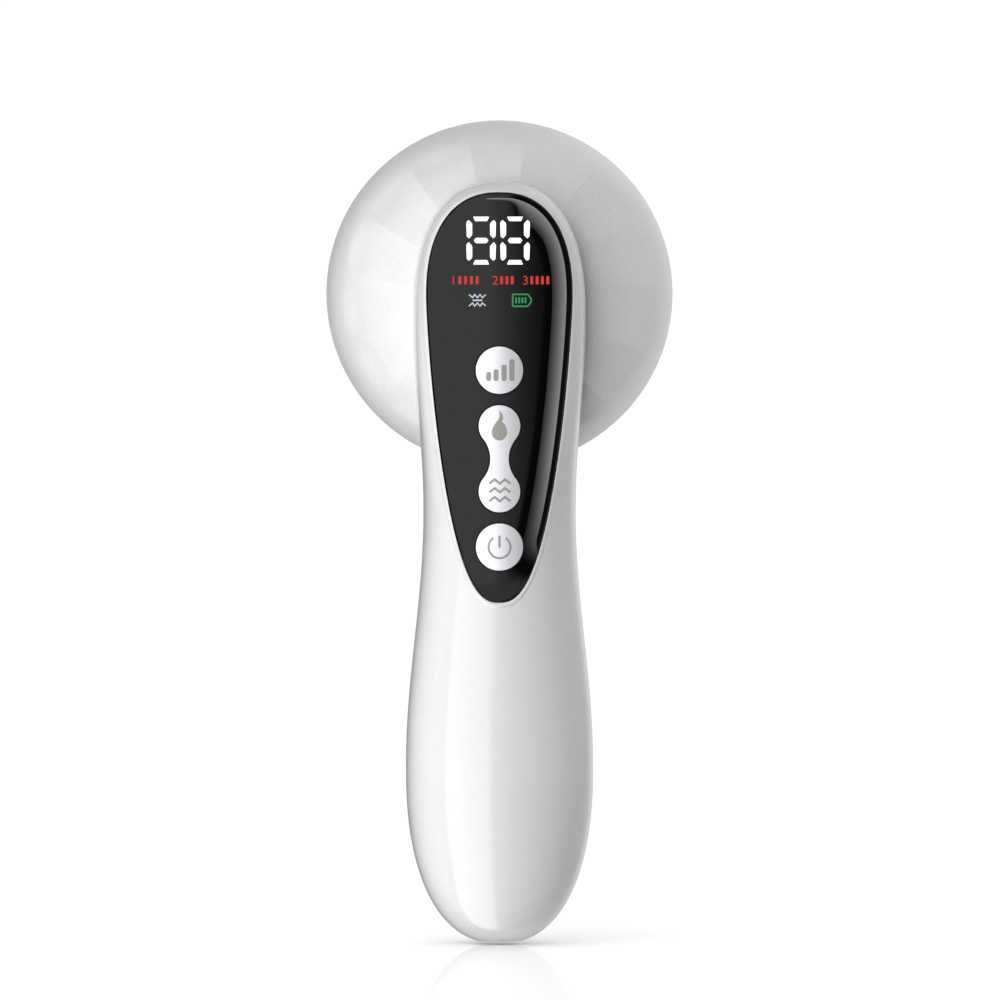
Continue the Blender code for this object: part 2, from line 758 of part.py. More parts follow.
def front_housing():
    shell = form("front_housing", 0.0, -1)
    shell = cut(shell, form("cavity", FRONT_WALL, -1, PARTING_Y + OVERRUN))
    bosses = rods("bosses", BOSS_RADIUS, housing_screw_places() + head_screw_places(), PARTING_Y,
                  PARTING_Y - HOUSING_BOSS_DEPTH)
    seats = rods("seats", SMALL_HEAD_RADIUS + GAP, board_screw_places(), BOARD_FRONT_Y - GAP, FRONT_LIMIT_Y)
    seats = keep_inside(seats, form("skin", FRONT_WALL / 2, -1))
    shell = join_to(shell, keep_inside(bosses, form("skin", FRONT_WALL / 2, -1)))
    shell = join_to(shell, seats)
    shell = cut(shell, dome_solid(GAP))
    shell = cut(shell, parting_block(-1))
    pocket = plate("pocket", panel_outline(-GAP), FRONT_LIMIT_Y, PARTING_Y - OVERRUN)
    pocket = cut(pocket, form("ledge", LENS_BACK + GAP, -1, PARTING_Y + OVERRUN))
    shell = cut(shell, pocket)
    shell = cut(shell, plate("window", panel_outline(PANEL_LEDGE), FRONT_LIMIT_Y, BOARD_FRONT_Y - 2 * GAP))
    shell = cut(shell, port_cutter())
    shell = cut(shell, rods("pilots", SCREW_RADIUS + GAP, housing_screw_places(), PARTING_Y,
                            HOUSING_SEAT_Y - HOUSING_SCREW_LENGTH - GAP))
    shell = cut(shell, rods("pilots", SCREW_RADIUS + GAP, head_screw_places(), PARTING_Y,
                            head_screw_end))
    return cut(shell, rods("pilots", SMALL_SCREW_RADIUS + GAP, board_screw_places(), BOARD_FRONT_Y,
                           BOARD_FRONT_Y - BOARD_SCREW_LENGTH))


def rear_housing():
    shell = form("rear_housing", 0.0, 1)
    shell = cut(shell, box("above", (-HEAD_RADIUS, PARTING_Y - OVERRUN, HEAD_Z),
                           (HEAD_RADIUS, DOME_RIM_Y, HEAD_Z + HEAD_RADIUS)))
    shell = cut(shell, form("cavity", REAR_WALL, 1, PARTING_Y - OVERRUN))
    bosses = rods("bosses", SCREW_HEAD_RADIUS + GAP + RIB_THICKNESS / 2, housing_screw_places(), PARTING_Y,
                  PARTING_Y + HANDLE_BACK_DEPTH)
    shell = join_to(shell, keep_inside(bosses, form("skin", REAR_WALL / 2, 1)))
    shell = cut(shell, dome_solid(GAP))
    shell = cut(shell, parting_block(1))
    shell = cut(shell, port_cutter())
    shell = cut(shell, rods("wells", SCREW_HEAD_RADIUS + GAP, housing_screw_places(), HOUSING_SEAT_Y,
                            PARTING_Y + HANDLE_BACK_DEPTH + OVERRUN))
    return cut(shell, rods("passages", SCREW_RADIUS + GAP, housing_screw_places(), PARTING_Y - OVERRUN,
                           HOUSING_SEAT_Y + OVERRUN))


def head_seat_y(x, z):
    return dome_y(x, z) + HEAD_SEAT_RISE


def head_screw_end(x, z):
    return head_seat_y(x, z) - HEAD_SCREW_LENGTH - GAP


CRADLE_RADIUS = MOTOR_RADIUS + GAP + SLEEVE_WALL + GAP
SLEEVE_LEFT_X = MOTOR_LEFT_X + SLEEVE_SETBACK
CLAMP_LEFT_X = SLEEVE_LEFT_X + (SLEEVE_LENGTH - CLAMP_LENGTH) / 2
CLAMP_HALF_HEIGHT = CRADLE_RADIUS + CLAMP_WALL + CLAMP_EAR


def dome_cover():
    inner = [(radius, y) for radius, y in dome_profile(-DOME_WALL) if y < DOME_RIM_Y - SPIGOT_DEPTH]
    spigot_outer = HEAD_RADIUS - RING_WALL - GAP
    spigot_inner = spigot_outer - SPIGOT_WALL
    profile = list(reversed(inner))
    profile += [(spigot_inner, DOME_RIM_Y - SPIGOT_WALL), (spigot_inner, DOME_RIM_Y + SPIGOT_DEPTH),
                (spigot_outer, DOME_RIM_Y + SPIGOT_DEPTH), (spigot_outer, DOME_RIM_Y)]
    profile += dome_profile(0.0)
    shell = turned("dome_cover", profile, (0.0, HEAD_Z), DOME_STEPS)
    seats = rods("seats", SCREW_HEAD_RADIUS + GAP + RIB_THICKNESS / 2, head_screw_places(), FRONT_LIMIT_Y,
                 head_seat_y)
    seats = keep_inside(seats, dome_solid(-DOME_WALL / 2))
    cradle = box("cradle", (CLAMP_LEFT_X, -DOME_DEPTH, MOTOR_Z - CLAMP_HALF_HEIGHT),
                 (CLAMP_LEFT_X + CLAMP_LENGTH, MOTOR_Y - GAP / 2, MOTOR_Z + CLAMP_HALF_HEIGHT))
    cradle = keep_inside(cradle, dome_solid(-DOME_WALL / 2))
    trough = rod("trough", CRADLE_RADIUS, (CLAMP_LEFT_X - OVERRUN, MOTOR_Y, MOTOR_Z),
                 (CLAMP_LEFT_X + CLAMP_LENGTH + OVERRUN, MOTOR_Y, MOTOR_Z))
    shell = join_to(shell, cut(cradle, trough))
    shell = join_to(shell, seats)
    shell = cut(shell, rods("passages", SCREW_RADIUS + GAP, head_screw_places(), FRONT_LIMIT_Y, MOTOR_Y))
    shell = cut(shell, rods("pilots", SMALL_SCREW_RADIUS + GAP, clamp_screw_places(), MOTOR_Y,
                            MOTOR_Y - BOARD_SCREW_LENGTH))
    hole = rod("hole", DOME_HOLE_RADIUS, (0.0, FRONT_LIMIT_Y, DOME_HOLE_Z), (0.0, MOTOR_Y, DOME_HOLE_Z))
    return cut(shell, hole)


def head_ring():
    low, high = DOME_RIM_Y + GAP, DOME_RIM_Y + GAP + RING_DEPTH
    inner = HEAD_RADIUS - RING_WALL
    profile = [(inner, low), (HEAD_RADIUS, low), (HEAD_RADIUS - RING_TAPER / 8, (low + high) / 2),
               (HEAD_RADIUS - RING_TAPER / 2, high - RING_TAPER / 2), (HEAD_RADIUS - RING_TAPER, high),
               (inner + GAP, high), (inner, high - GAP)]
    return turned("head_ring", profile, (0.0, HEAD_Z), DOME_STEPS, closed=True)


# Massage face

PLATE_RADIUS = HEAD_RADIUS - RING_WALL - GAP
PLATE_BACK_Y = PLATE_Y - PLATE_THICKNESS
POCKET_Y = PLATE_BACK_Y + PLATE_FLOOR
LIGHT_RADIUS = (WINDOW_INNER + WINDOW_OUTER) / 2
DRIVER_BACK_Y = PLATE_BACK_Y - DRIVER_STANDOFF - GAP
DRIVER_FRONT_Y = DRIVER_BACK_Y - DRIVER_THICKNESS


def plate_surface(radius):
    return PLATE_Y - PLATE_CROWN * (radius / PLATE_RADIUS) ** 2


def around_head(radius, count, phase):
    return [(radius * math.cos(math.tau * (i + phase) / count),
             HEAD_Z + radius * math.sin(math.tau * (i + phase) / count)) for i in range(count)]


def post_places():
    """Two opposite corners of the driver board."""
    return [(side * DRIVER_POST_X, HEAD_Z + side * DRIVER_POST_Z) for side in (-1, 1)]


def pin_places():
    return around_head(PAD_INNER + SCREW_RADIUS, PAD_COUNT, 0.5)


def pad_outline(index, grow):
    """An arc-shaped pad's outline, grown by a clearance."""
    middle = math.tau * (index + 0.5) / PAD_COUNT
    spread = PAD_HALF_ANGLE + grow / PAD_INNER
    points = []
    for radius, way in ((PAD_OUTER + grow, 1), (PAD_INNER - grow, -1)):
        for step in range(9):
            angle = middle + way * spread * (step / 4 - 1)
            points.append((radius * math.cos(angle), HEAD_Z + radius * math.sin(angle)))
    return points


def massage_plate():
    profile = [(HEATER_RADIUS + GAP, PLATE_BACK_Y), (PLATE_RADIUS, PLATE_BACK_Y),
               (PLATE_RADIUS, plate_surface(PLATE_RADIUS) - PLATE_EDGE)]
    crown_radii = [PLATE_RADIUS - PLATE_EDGE, (PAD_INNER + PAD_OUTER) / 2, WINDOW_OUTER + GAP]
    profile += [(radius, plate_surface(radius)) for radius in crown_radii]
    profile += [(WINDOW_OUTER + GAP, POCKET_Y), (WINDOW_INNER - GAP, POCKET_Y),
                (WINDOW_INNER - GAP, plate_surface(WINDOW_INNER)),
                (HEAT_RADIUS + GAP, plate_surface(HEAT_RADIUS)), (HEAT_RADIUS + GAP, POCKET_Y),
                (HEATER_RADIUS + GAP, POCKET_Y)]
    face = turned("massage_plate", profile, (0.0, HEAD_Z), FACE_STEPS, closed=True)
    face = join_to(face, rods("posts", DRIVER_POST_RADIUS, post_places(), PLATE_BACK_Y - DRIVER_STANDOFF,
                              PLATE_BACK_Y + PLATE_FLOOR / 2))
    for index in range(PAD_COUNT):
        face = cut(face, plate("pocket", pad_outline(index, GAP), POCKET_Y, FACE_Y))
    lights = around_head(LIGHT_RADIUS, LIGHT_COUNT, 0.5)
    face = cut(face, rods("holes", LIGHT_HOLE_RADIUS, lights, PLATE_BACK_Y - OVERRUN, FACE_Y))
    face = cut(face, rods("holes", LEAD_RADIUS + GAP, pin_places(), PLATE_BACK_Y - OVERRUN, FACE_Y))
    return cut(face, rods("pilots", SMALL_SCREW_RADIUS + GAP, post_places(),
                          PLATE_BACK_Y - DRIVER_STANDOFF - OVERRUN,
                          PLATE_BACK_Y - DRIVER_STANDOFF + BOARD_SCREW_LENGTH))


def head_seal():
    low = DOME_RIM_Y + SPIGOT_DEPTH + GAP
    outer = HEAD_RADIUS - RING_WALL - 2 * GAP
    profile = [(outer - SEAL_WIDTH, low), (outer, low), (outer, low + SEAL_HEIGHT),
               (outer - SEAL_WIDTH, low + SEAL_HEIGHT)]
    return turned("head_seal", profile, (0.0, HEAD_Z), FACE_STEPS, closed=True)


def bevel_face(piece, y, width):
    """Round the edges of a piece's flat face at a given y."""
    shape = bmesh.new()
    shape.from_mesh(piece.data)
    edges = [edge for edge in shape.edges if all(abs(v.co.y - y) < WELD for v in edge.verts)
             and edge.calc_face_angle(0.0) > math.radians(45)]
    bmesh.ops.bevel(shape, geom=edges, offset=width, segments=2, profile=0.5, affect="EDGES")
    shape.to_mesh(piece.data)
    shape.free()
    return piece


def electrode_pad(index):
    pad = plate("electrode_pad_%d" % (index + 1), pad_outline(index, 0.0), POCKET_Y + GAP, FACE_Y)
    return bevel_face(pad, FACE_Y, PAD_EDGE)


def heat_plate():
    profile = [(0.0, FACE_Y), (HEAT_RADIUS - HEAT_EDGE, FACE_Y), (HEAT_RADIUS, FACE_Y - HEAT_EDGE),
               (HEAT_RADIUS, POCKET_Y + GAP), (0.0, POCKET_Y + GAP)]
    return turned("heat_plate", profile, (0.0, HEAD_Z), FACE_STEPS)


def heater_film():
    return rod("heater_film", HEATER_RADIUS, (0.0, POCKET_Y, HEAD_Z),
               (0.0, POCKET_Y - HEATER_THICKNESS, HEAD_Z))


def light_window():
    top = plate_surface(WINDOW_OUTER)
    profile = [(WINDOW_INNER, POCKET_Y + GAP), (WINDOW_OUTER, POCKET_Y + GAP), (WINDOW_OUTER, top),
               (WINDOW_INNER, top)]
    return turned("light_window", profile, (0.0, HEAD_Z), FACE_STEPS, closed=True)


def light_board():
    """A ring with its light chips on one side and a pair of plug pins on the other."""
    back = PLATE_BACK_Y - GAP
    front = back - LIGHT_BOARD_THICKNESS
    inner, outer = WINDOW_INNER - LIGHT_BOARD_MARGIN, WINDOW_OUTER + LIGHT_BOARD_MARGIN
    profile = [(inner, front), (outer, front), (outer, back), (inner, back)]
    board = turned("light_board", profile, (0.0, HEAD_Z), ROUND_STEPS, closed=True)
    half = LIGHT_SIZE / 2
    for x, z in around_head(LIGHT_RADIUS, LIGHT_COUNT, 0.5):
        board = join_to(board, box("chip", (x - half, back - LIGHT_BOARD_THICKNESS / 2, z - half),
                                   (x + half, PLATE_BACK_Y + LIGHT_HEIGHT, z + half)))
    pins = [(side * LIGHT_RADIUS, HEAD_Z) for side in (-1, 1)]
    return join_to(board, rods("pins", LEAD_RADIUS, pins, DRIVER_BACK_Y + GAP, front + GAP, 8))


def driver_board():
    """The board behind the plate, with four sprung pins that reach the electrode pads."""
    points = [(x, HEAD_Z + z) for x, z in
              rounded_box(DRIVER_HALF_WIDTH, -DRIVER_HALF_HEIGHT, DRIVER_HALF_HEIGHT, DRIVER_CORNER)]
    board = plate("driver_board", points, DRIVER_FRONT_Y, DRIVER_BACK_Y)
    board = join_to(board, rods("pins", LEAD_RADIUS, pin_places(), DRIVER_BACK_Y - DRIVER_THICKNESS / 2,
                                POCKET_Y, 8))
    return cut(board, rods("holes", SMALL_SCREW_RADIUS + GAP, post_places(), DRIVER_BACK_Y + OVERRUN,
                           DRIVER_FRONT_Y - OVERRUN))


COIL_Z = HEAD_Z - COIL_CENTRE_Z
CORE_BACK_Y = DRIVER_FRONT_Y - GAP


def transformer_core():
    """A frame with a round middle leg, which the winding goes round."""
    half = CORE_SIZE / 2
    core = box("transformer_core", (COIL_CENTRE_X - half, CORE_BACK_Y - CORE_HEIGHT, COIL_Z - half),
               (COIL_CENTRE_X + half, CORE_BACK_Y, COIL_Z + half))
    room = box("room", (COIL_CENTRE_X - half - OVERRUN, CORE_BACK_Y - CORE_HEIGHT + CORE_YOKE,
                        COIL_Z - half + CORE_YOKE / 2),
               (COIL_CENTRE_X + half + OVERRUN, CORE_BACK_Y - CORE_YOKE, COIL_Z + half - CORE_YOKE / 2))
    leg = rod("leg", CORE_LEG_RADIUS, (COIL_CENTRE_X, CORE_BACK_Y - CORE_YOKE / 2, COIL_Z),
              (COIL_CENTRE_X, CORE_BACK_Y - CORE_HEIGHT + CORE_YOKE / 2, COIL_Z), SMALL_STEPS)
    return join_to(cut(core, room), leg)


def transformer_winding():
    inner = CORE_LEG_RADIUS + GAP
    low = CORE_BACK_Y - CORE_HEIGHT + CORE_YOKE + GAP
    high = CORE_BACK_Y - CORE_YOKE - GAP
    profile = [(inner, low), (WINDING_RADIUS, low), (WINDING_RADIUS, high), (inner, high)]
    return turned("transformer_winding", profile, (COIL_CENTRE_X, COIL_Z), ROUND_STEPS, closed=True)


# Vibration motor

def motor_can():
    middle = (MOTOR_Y, MOTOR_Z)
    right_x = MOTOR_LEFT_X + MOTOR_LENGTH
    can = rod("motor_can", MOTOR_RADIUS, (MOTOR_LEFT_X, *middle), (right_x, *middle))
    bore = rod("bore", MOTOR_SHAFT_RADIUS + GAP, (right_x - MOTOR_SHAFT_BURIED - GAP, *middle),
               (right_x + OVERRUN, *middle), SMALL_STEPS)
    return cut(can, bore)


def motor_shaft():
    right_x = MOTOR_LEFT_X + MOTOR_LENGTH
    return rod("motor_shaft", MOTOR_SHAFT_RADIUS, (right_x - MOTOR_SHAFT_BURIED, MOTOR_Y, MOTOR_Z),
               (right_x + MOTOR_SHAFT_REACH, MOTOR_Y, MOTOR_Z), SMALL_STEPS)


def eccentric_weight():
    """Half a disc on a round hub, so that its mass lies to one side of the shaft."""
    left = MOTOR_LEFT_X + MOTOR_LENGTH + MOTOR_SHAFT_RADIUS
    right = left + WEIGHT_LENGTH
    weight = rod("eccentric_weight", WEIGHT_RADIUS, (left, MOTOR_Y, MOTOR_Z), (right, MOTOR_Y, MOTOR_Z))
    weight = cut(weight, box("upper", (left - OVERRUN, MOTOR_Y - 2 * WEIGHT_RADIUS, MOTOR_Z),
                             (right + OVERRUN, MOTOR_Y + 2 * WEIGHT_RADIUS, MOTOR_Z + 2 * WEIGHT_RADIUS)))
    hub = rod("hub", WEIGHT_HUB_RADIUS, (left, MOTOR_Y, MOTOR_Z), (right, MOTOR_Y, MOTOR_Z))
    bore = rod("bore", MOTOR_SHAFT_RADIUS + GAP, (left - OVERRUN, MOTOR_Y, MOTOR_Z),
               (right + OVERRUN, MOTOR_Y, MOTOR_Z), SMALL_STEPS)
    return cut(join_to(weight, hub), bore)


def motor_sleeve():
    ends = (SLEEVE_LEFT_X, MOTOR_Y, MOTOR_Z), (SLEEVE_LEFT_X + SLEEVE_LENGTH, MOTOR_Y, MOTOR_Z)
    sleeve = rod("motor_sleeve", MOTOR_RADIUS + GAP + SLEEVE_WALL, *ends)
    bore = rod("bore", MOTOR_RADIUS + GAP, (SLEEVE_LEFT_X - OVERRUN, MOTOR_Y, MOTOR_Z),
               (SLEEVE_LEFT_X + SLEEVE_LENGTH + OVERRUN, MOTOR_Y, MOTOR_Z))
    return cut(sleeve, bore)


def clamp_screw_places():
    reach = CRADLE_RADIUS + CLAMP_WALL + CLAMP_EAR / 2
    return [(CLAMP_LEFT_X + CLAMP_LENGTH / 2, MOTOR_Z + side * reach) for side in (-1, 1)]


def motor_clamp():
    right = CLAMP_LEFT_X + CLAMP_LENGTH
    low = MOTOR_Y + GAP / 2
    strap = rod("motor_clamp", CRADLE_RADIUS + CLAMP_WALL, (CLAMP_LEFT_X, MOTOR_Y, MOTOR_Z),
                (right, MOTOR_Y, MOTOR_Z))
    ears = box("ears", (CLAMP_LEFT_X, low, MOTOR_Z - CLAMP_HALF_HEIGHT),
               (right, low + CLAMP_WALL, MOTOR_Z + CLAMP_HALF_HEIGHT))
    strap = join_to(strap, ears)
    strap = cut(strap, rod("bore", CRADLE_RADIUS, (CLAMP_LEFT_X - OVERRUN, MOTOR_Y, MOTOR_Z),
                           (right + OVERRUN, MOTOR_Y, MOTOR_Z)))
    strap = cut(strap, box("lower", (CLAMP_LEFT_X - OVERRUN, low - 2 * CRADLE_RADIUS,
                                     MOTOR_Z - CLAMP_HALF_HEIGHT),
                           (right + OVERRUN, low, MOTOR_Z + CLAMP_HALF_HEIGHT)))
    return cut(strap, rods("holes", SMALL_SCREW_RADIUS + GAP, clamp_screw_places(), low - OVERRUN,
                           low + CLAMP_WALL + OVERRUN))


# Control panel and keys

def control_panel():
    lens = slab("control_panel", panel_outline(0.0), PANEL_RECESS, LENS_BACK)
    for points in (circle(LEVEL_KEY_RADIUS + GAP, LEVEL_KEY_Z), circle(POWER_KEY_RADIUS + GAP, POWER_KEY_Z),
                   mode_outline(GAP)):
        lens = cut(lens, plate("opening", points, FRONT_LIMIT_Y, PARTING_Y))
    return lens


PLUNGER_TOP_Y = BOARD_FRONT_Y - GAP - SWITCH_HEIGHT - PLUNGER_RISE
STEM_END_Y = PLUNGER_TOP_Y - GAP


def key(name, cap, flange, room, feet):
    """A key cap with a flange behind the panel and feet down to its switches."""
    flange_front = LENS_BACK + GAP + room
    flange_back = flange_front + KEY_FLANGE
    made = slab(name, cap, -KEY_PROUD, (flange_front + flange_back) / 2)
    made = join_to(made, slab("flange", flange, flange_front, flange_back))
    for z in feet:
        root_y = surface_at(0.0, z, (flange_front + flange_back) / 2, -1)
        foot = rod("foot", KEY_STEM_RADIUS, (0.0, root_y, z), (0.0, STEM_END_Y, z), SMALL_STEPS)
        made = join_to(made, foot)
    return made


def level_button():
    return key("level_button", circle(LEVEL_KEY_RADIUS, LEVEL_KEY_Z),
               circle(LEVEL_KEY_RADIUS + KEY_FLANGE, LEVEL_KEY_Z), 0.0, (LEVEL_KEY_Z,))


def power_button():
    return key("power_button", circle(POWER_KEY_RADIUS, POWER_KEY_Z),
               circle(POWER_KEY_RADIUS + KEY_FLANGE, POWER_KEY_Z), 0.0, (POWER_KEY_Z,))


def mode_key():
    return key("mode_key", mode_outline(0.0), mode_outline(KEY_FLANGE), MODE_ROCK_ROOM,
               (MODE_KEY_Z - MODE_LOBE_OFFSET, MODE_KEY_Z + MODE_LOBE_OFFSET))


def switch_places():
    return {"level": LEVEL_KEY_Z, "heat": MODE_KEY_Z + MODE_LOBE_OFFSET,
            "vibration": MODE_KEY_Z - MODE_LOBE_OFFSET, "power": POWER_KEY_Z}


def switch_body(name, z):
    back = BOARD_FRONT_Y - GAP
    front = back - SWITCH_HEIGHT
    half = SWITCH_SIZE / 2
    made = box(name + "_switch", (-half, front, z - half), (half, back, z + half))
    return cut(made, rod("bore", PLUNGER_RADIUS + GAP, (0.0, front - OVERRUN, z),
                         (0.0, front + PLUNGER_BURIED + KEY_TRAVEL + PLUNGER_SPARE, z), SMALL_STEPS))


def switch_plunger(name, z):
    return rod(name + "_plunger", PLUNGER_RADIUS, (0.0, PLUNGER_TOP_Y, z),
               (0.0, PLUNGER_TOP_Y + PLUNGER_RISE + PLUNGER_BURIED, z), SMALL_STEPS)


def main_board():
    """The board behind the panel, with its control chip soldered on."""
    points = rounded_box(BOARD_HALF_WIDTH, BOARD_BOTTOM_Z, BOARD_TOP_Z, BOARD_CORNER)
    board = plate("main_board", points, BOARD_FRONT_Y, BOARD_BACK_Y)
    half = CHIP_SIZE / 2
    chip = box("chip", (-half, BOARD_FRONT_Y - CHIP_HEIGHT, CHIP_Z - half),
               (half, BOARD_FRONT_Y + BOARD_THICKNESS / 2, CHIP_Z + half))
    board = join_to(board, chip)
    return cut(board, rods("holes", SMALL_SCREW_RADIUS + GAP, board_screw_places(), BOARD_FRONT_Y - OVERRUN,
                           BOARD_BACK_Y + OVERRUN))


def display_module():
    right = [(DISPLAY_HALF_WIDTH, DISPLAY_BOTTOM_Z), (DISPLAY_HALF_WIDTH, DISPLAY_SHOULDER_Z),
             (DISPLAY_TOP_HALF_WIDTH, DISPLAY_TOP_Z)]
    points = right + [(-x, z) for x, z in reversed(right)]
    front = max(surface_at(x, z, LENS_BACK, -1) for x, z in right) + GAP
    return plate("display_module", points, front, BOARD_FRONT_Y - GAP)


# Battery and charging

CELL_TOP_Z = CELL_BOTTOM_Z + CELL_LENGTH


def battery_cell():
    cell = rod("battery_cell", CELL_RADIUS, (0.0, PARTING_Y, CELL_BOTTOM_Z), (0.0, PARTING_Y, CELL_TOP_Z))
    tip = rod("tip", CELL_TIP_RADIUS, (0.0, PARTING_Y, CELL_TOP_Z - CELL_TIP_HEIGHT),
              (0.0, PARTING_Y, CELL_TOP_Z + CELL_TIP_HEIGHT))
    return join_to(cell, tip)


def battery_holder():
    """Half a tube behind the cell."""
    top = HOLDER_BOTTOM_Z + HOLDER_LENGTH
    outer = CELL_RADIUS + GAP + HOLDER_WALL
    holder = rod("battery_holder", outer, (0.0, PARTING_Y, HOLDER_BOTTOM_Z), (0.0, PARTING_Y, top))
    holder = cut(holder, rod("bore", CELL_RADIUS + GAP, (0.0, PARTING_Y, HOLDER_BOTTOM_Z - OVERRUN),
                             (0.0, PARTING_Y, top + OVERRUN)))
    reach = outer + OVERRUN
    return cut(holder, box("front", (-reach, PARTING_Y - reach, HOLDER_BOTTOM_Z - OVERRUN),
                           (reach, PARTING_Y, top + OVERRUN)))


def battery_pad():
    half = CELL_PAD_SIZE / 2
    low, high = CELL_PAD_Z - CELL_PAD_LENGTH / 2, CELL_PAD_Z + CELL_PAD_LENGTH / 2
    front = max(surface_at(half, z, FRONT_WALL, -1) for z in (low, high)) + GAP
    return box("battery_pad", (-half, front, low), (half, PARTING_Y - CELL_RADIUS - GAP, high))


def charge_socket():
    """A slot-shaped shell with its contact tongue moulded into the floor."""
    top = SOCKET_BOTTOM_Z + SOCKET_LENGTH
    shell = upright("charge_socket", stadium(SOCKET_HALF_WIDTH, SOCKET_HALF_HEIGHT), SOCKET_BOTTOM_Z, top)
    inside = stadium(SOCKET_HALF_WIDTH - SOCKET_WALL, SOCKET_HALF_HEIGHT - SOCKET_WALL)
    shell = cut(shell, upright("inside", inside, SOCKET_BOTTOM_Z - OVERRUN, top - SOCKET_FLOOR))
    half = SOCKET_TONGUE_THICKNESS / 2
    tongue = box("tongue",
                 (-SOCKET_TONGUE_HALF_WIDTH, PARTING_Y - half, SOCKET_BOTTOM_Z + SOCKET_TONGUE_SETBACK),
                 (SOCKET_TONGUE_HALF_WIDTH, PARTING_Y + half, top - SOCKET_FLOOR / 2))
    return join_to(shell, tongue)


CHARGE_BOARD_FRONT_Y = PARTING_Y + SOCKET_HALF_HEIGHT + GAP
CHARGE_BOARD_TOP_Z = CHARGE_BOARD_BOTTOM_Z + CHARGE_BOARD_HEIGHT


def charging_board():
    """The board in the tail, with its charge chip soldered on."""
    back = CHARGE_BOARD_FRONT_Y + CHARGE_BOARD_THICKNESS
    board = box("charging_board", (-CHARGE_BOARD_HALF_WIDTH, CHARGE_BOARD_FRONT_Y, CHARGE_BOARD_BOTTOM_Z),
                (CHARGE_BOARD_HALF_WIDTH, back, CHARGE_BOARD_TOP_Z))
    half = CHARGE_CHIP_SIZE / 2
    middle = (CHARGE_BOARD_BOTTOM_Z + CHARGE_BOARD_TOP_Z) / 2
    return join_to(board, box("chip", (-half, back - CHARGE_BOARD_THICKNESS / 2, middle - half),
                              (half, back + CHARGE_CHIP_HEIGHT, middle + half)))


# Screws

def screws(name, places, seat_y, way, length, radius, head_radius, head_height):
    """Screws along Y, one object each. way is the side of the seat that the head lies on."""
    made = []
    for number, (x, z) in enumerate(places, 1):
        seat = (seat_y(x, z) if callable(seat_y) else seat_y) + way * GAP
        screw = rod("%s_%d" % (name, number), head_radius, (x, seat, z), (x, seat + way * head_height, z),
                    SMALL_STEPS)
        shaft = rod("shaft", radius, (x, seat + way * head_height / 2, z), (x, seat - way * length, z), 8)
        made.append(join_to(screw, shaft))
    return made


def large_screws(name, places, seat_y, length):
    return screws(name, places, seat_y, 1, length, SCREW_RADIUS, SCREW_HEAD_RADIUS, SCREW_HEAD_HEIGHT)


def small_screws(name, places, seat_y, way, length):
    return screws(name, places, seat_y, way, length, SMALL_SCREW_RADIUS, SMALL_HEAD_RADIUS, SMALL_HEAD_HEIGHT)


# Leads. Their lanes run beside the cell, in the corners of the handle.

LANE_X = 10.4 * MM
LANE_Y = -16.0 * MM
LANE_LOW_Z = 18.0 * MM
LANE_HIGH_Z = 70.0 * MM
LEAD_END_X = 5.0 * MM
LEAD_END_Z = 88.0 * MM
LEAD_BEND = 3.0 * MM


def lane(side):
    """The stretch of a lead beside the cell and up to the main board."""
    x = side * LANE_X
    return [(x, LANE_Y, LANE_LOW_Z), (x, LANE_Y, (LANE_LOW_Z + LANE_HIGH_Z) / 2), (x, LANE_Y, LANE_HIGH_Z),
            (side * (LANE_X - LEAD_BEND / 2), LANE_Y + LEAD_BEND / 2, BOARD_BOTTOM_Z),
            (side * (LEAD_END_X + LEAD_BEND / 2), LANE_Y + LEAD_BEND / 2, LEAD_END_Z - LEAD_BEND / 2),
            (side * LEAD_END_X, BOARD_BACK_Y + GAP, LEAD_END_Z)]


def charge_lead():
    start_z = CHARGE_BOARD_TOP_Z - LEAD_BEND
    start = [(LEAD_END_X, CHARGE_BOARD_FRONT_Y - GAP, start_z),
             (LEAD_END_X + LEAD_BEND / 2, CHARGE_BOARD_FRONT_Y - LEAD_BEND, start_z),
             (LANE_X - LEAD_BEND / 2, LANE_Y + LEAD_BEND, CELL_BOTTOM_Z - LEAD_BEND / 2)]
    return wire("charge_lead", start + lane(1), LEAD_RADIUS)


def battery_lead_negative():
    start = [(-LEAD_END_X, PARTING_Y - LEAD_BEND, CELL_BOTTOM_Z - GAP),
             (-LEAD_END_X - LEAD_BEND / 2, PARTING_Y - LEAD_BEND, CELL_BOTTOM_Z - LEAD_BEND / 2),
             (-LANE_X + LEAD_BEND / 2, LANE_Y + LEAD_BEND, CELL_BOTTOM_Z - LEAD_BEND / 2)]
    return wire("battery_lead_negative", start + lane(-1), LEAD_RADIUS)


def battery_lead_positive():
    start_z = CELL_TOP_Z + CELL_TIP_HEIGHT + GAP
    route = [(0.0, PARTING_Y, start_z), (0.0, PARTING_Y, start_z + LEAD_BEND / 2),
             (0.0, PARTING_Y - LEAD_BEND / 2, start_z + 2 * LEAD_BEND),
             (0.0, BOARD_BACK_Y + LEAD_BEND, LEAD_END_Z),
             (0.0, BOARD_BACK_Y + GAP, LEAD_END_Z + LEAD_BEND / 2)]
    return wire("battery_lead_positive", route, LEAD_RADIUS)


def motor_lead():
    """A twin lead from the can's closed end round to the driver board."""
    x = MOTOR_LEFT_X - GAP
    far_x = x - LEAD_BEND
    route = [(x, MOTOR_Y, MOTOR_Z), (x - LEAD_BEND / 2, MOTOR_Y, MOTOR_Z),
             (far_x, MOTOR_Y + MOTOR_RADIUS / 2, MOTOR_Z), (far_x, DRIVER_FRONT_Y - LEAD_BEND, MOTOR_Z),
             (far_x, DRIVER_FRONT_Y - GAP, MOTOR_Z)]
    return wire("motor_lead", route, CABLE_RADIUS / 2)


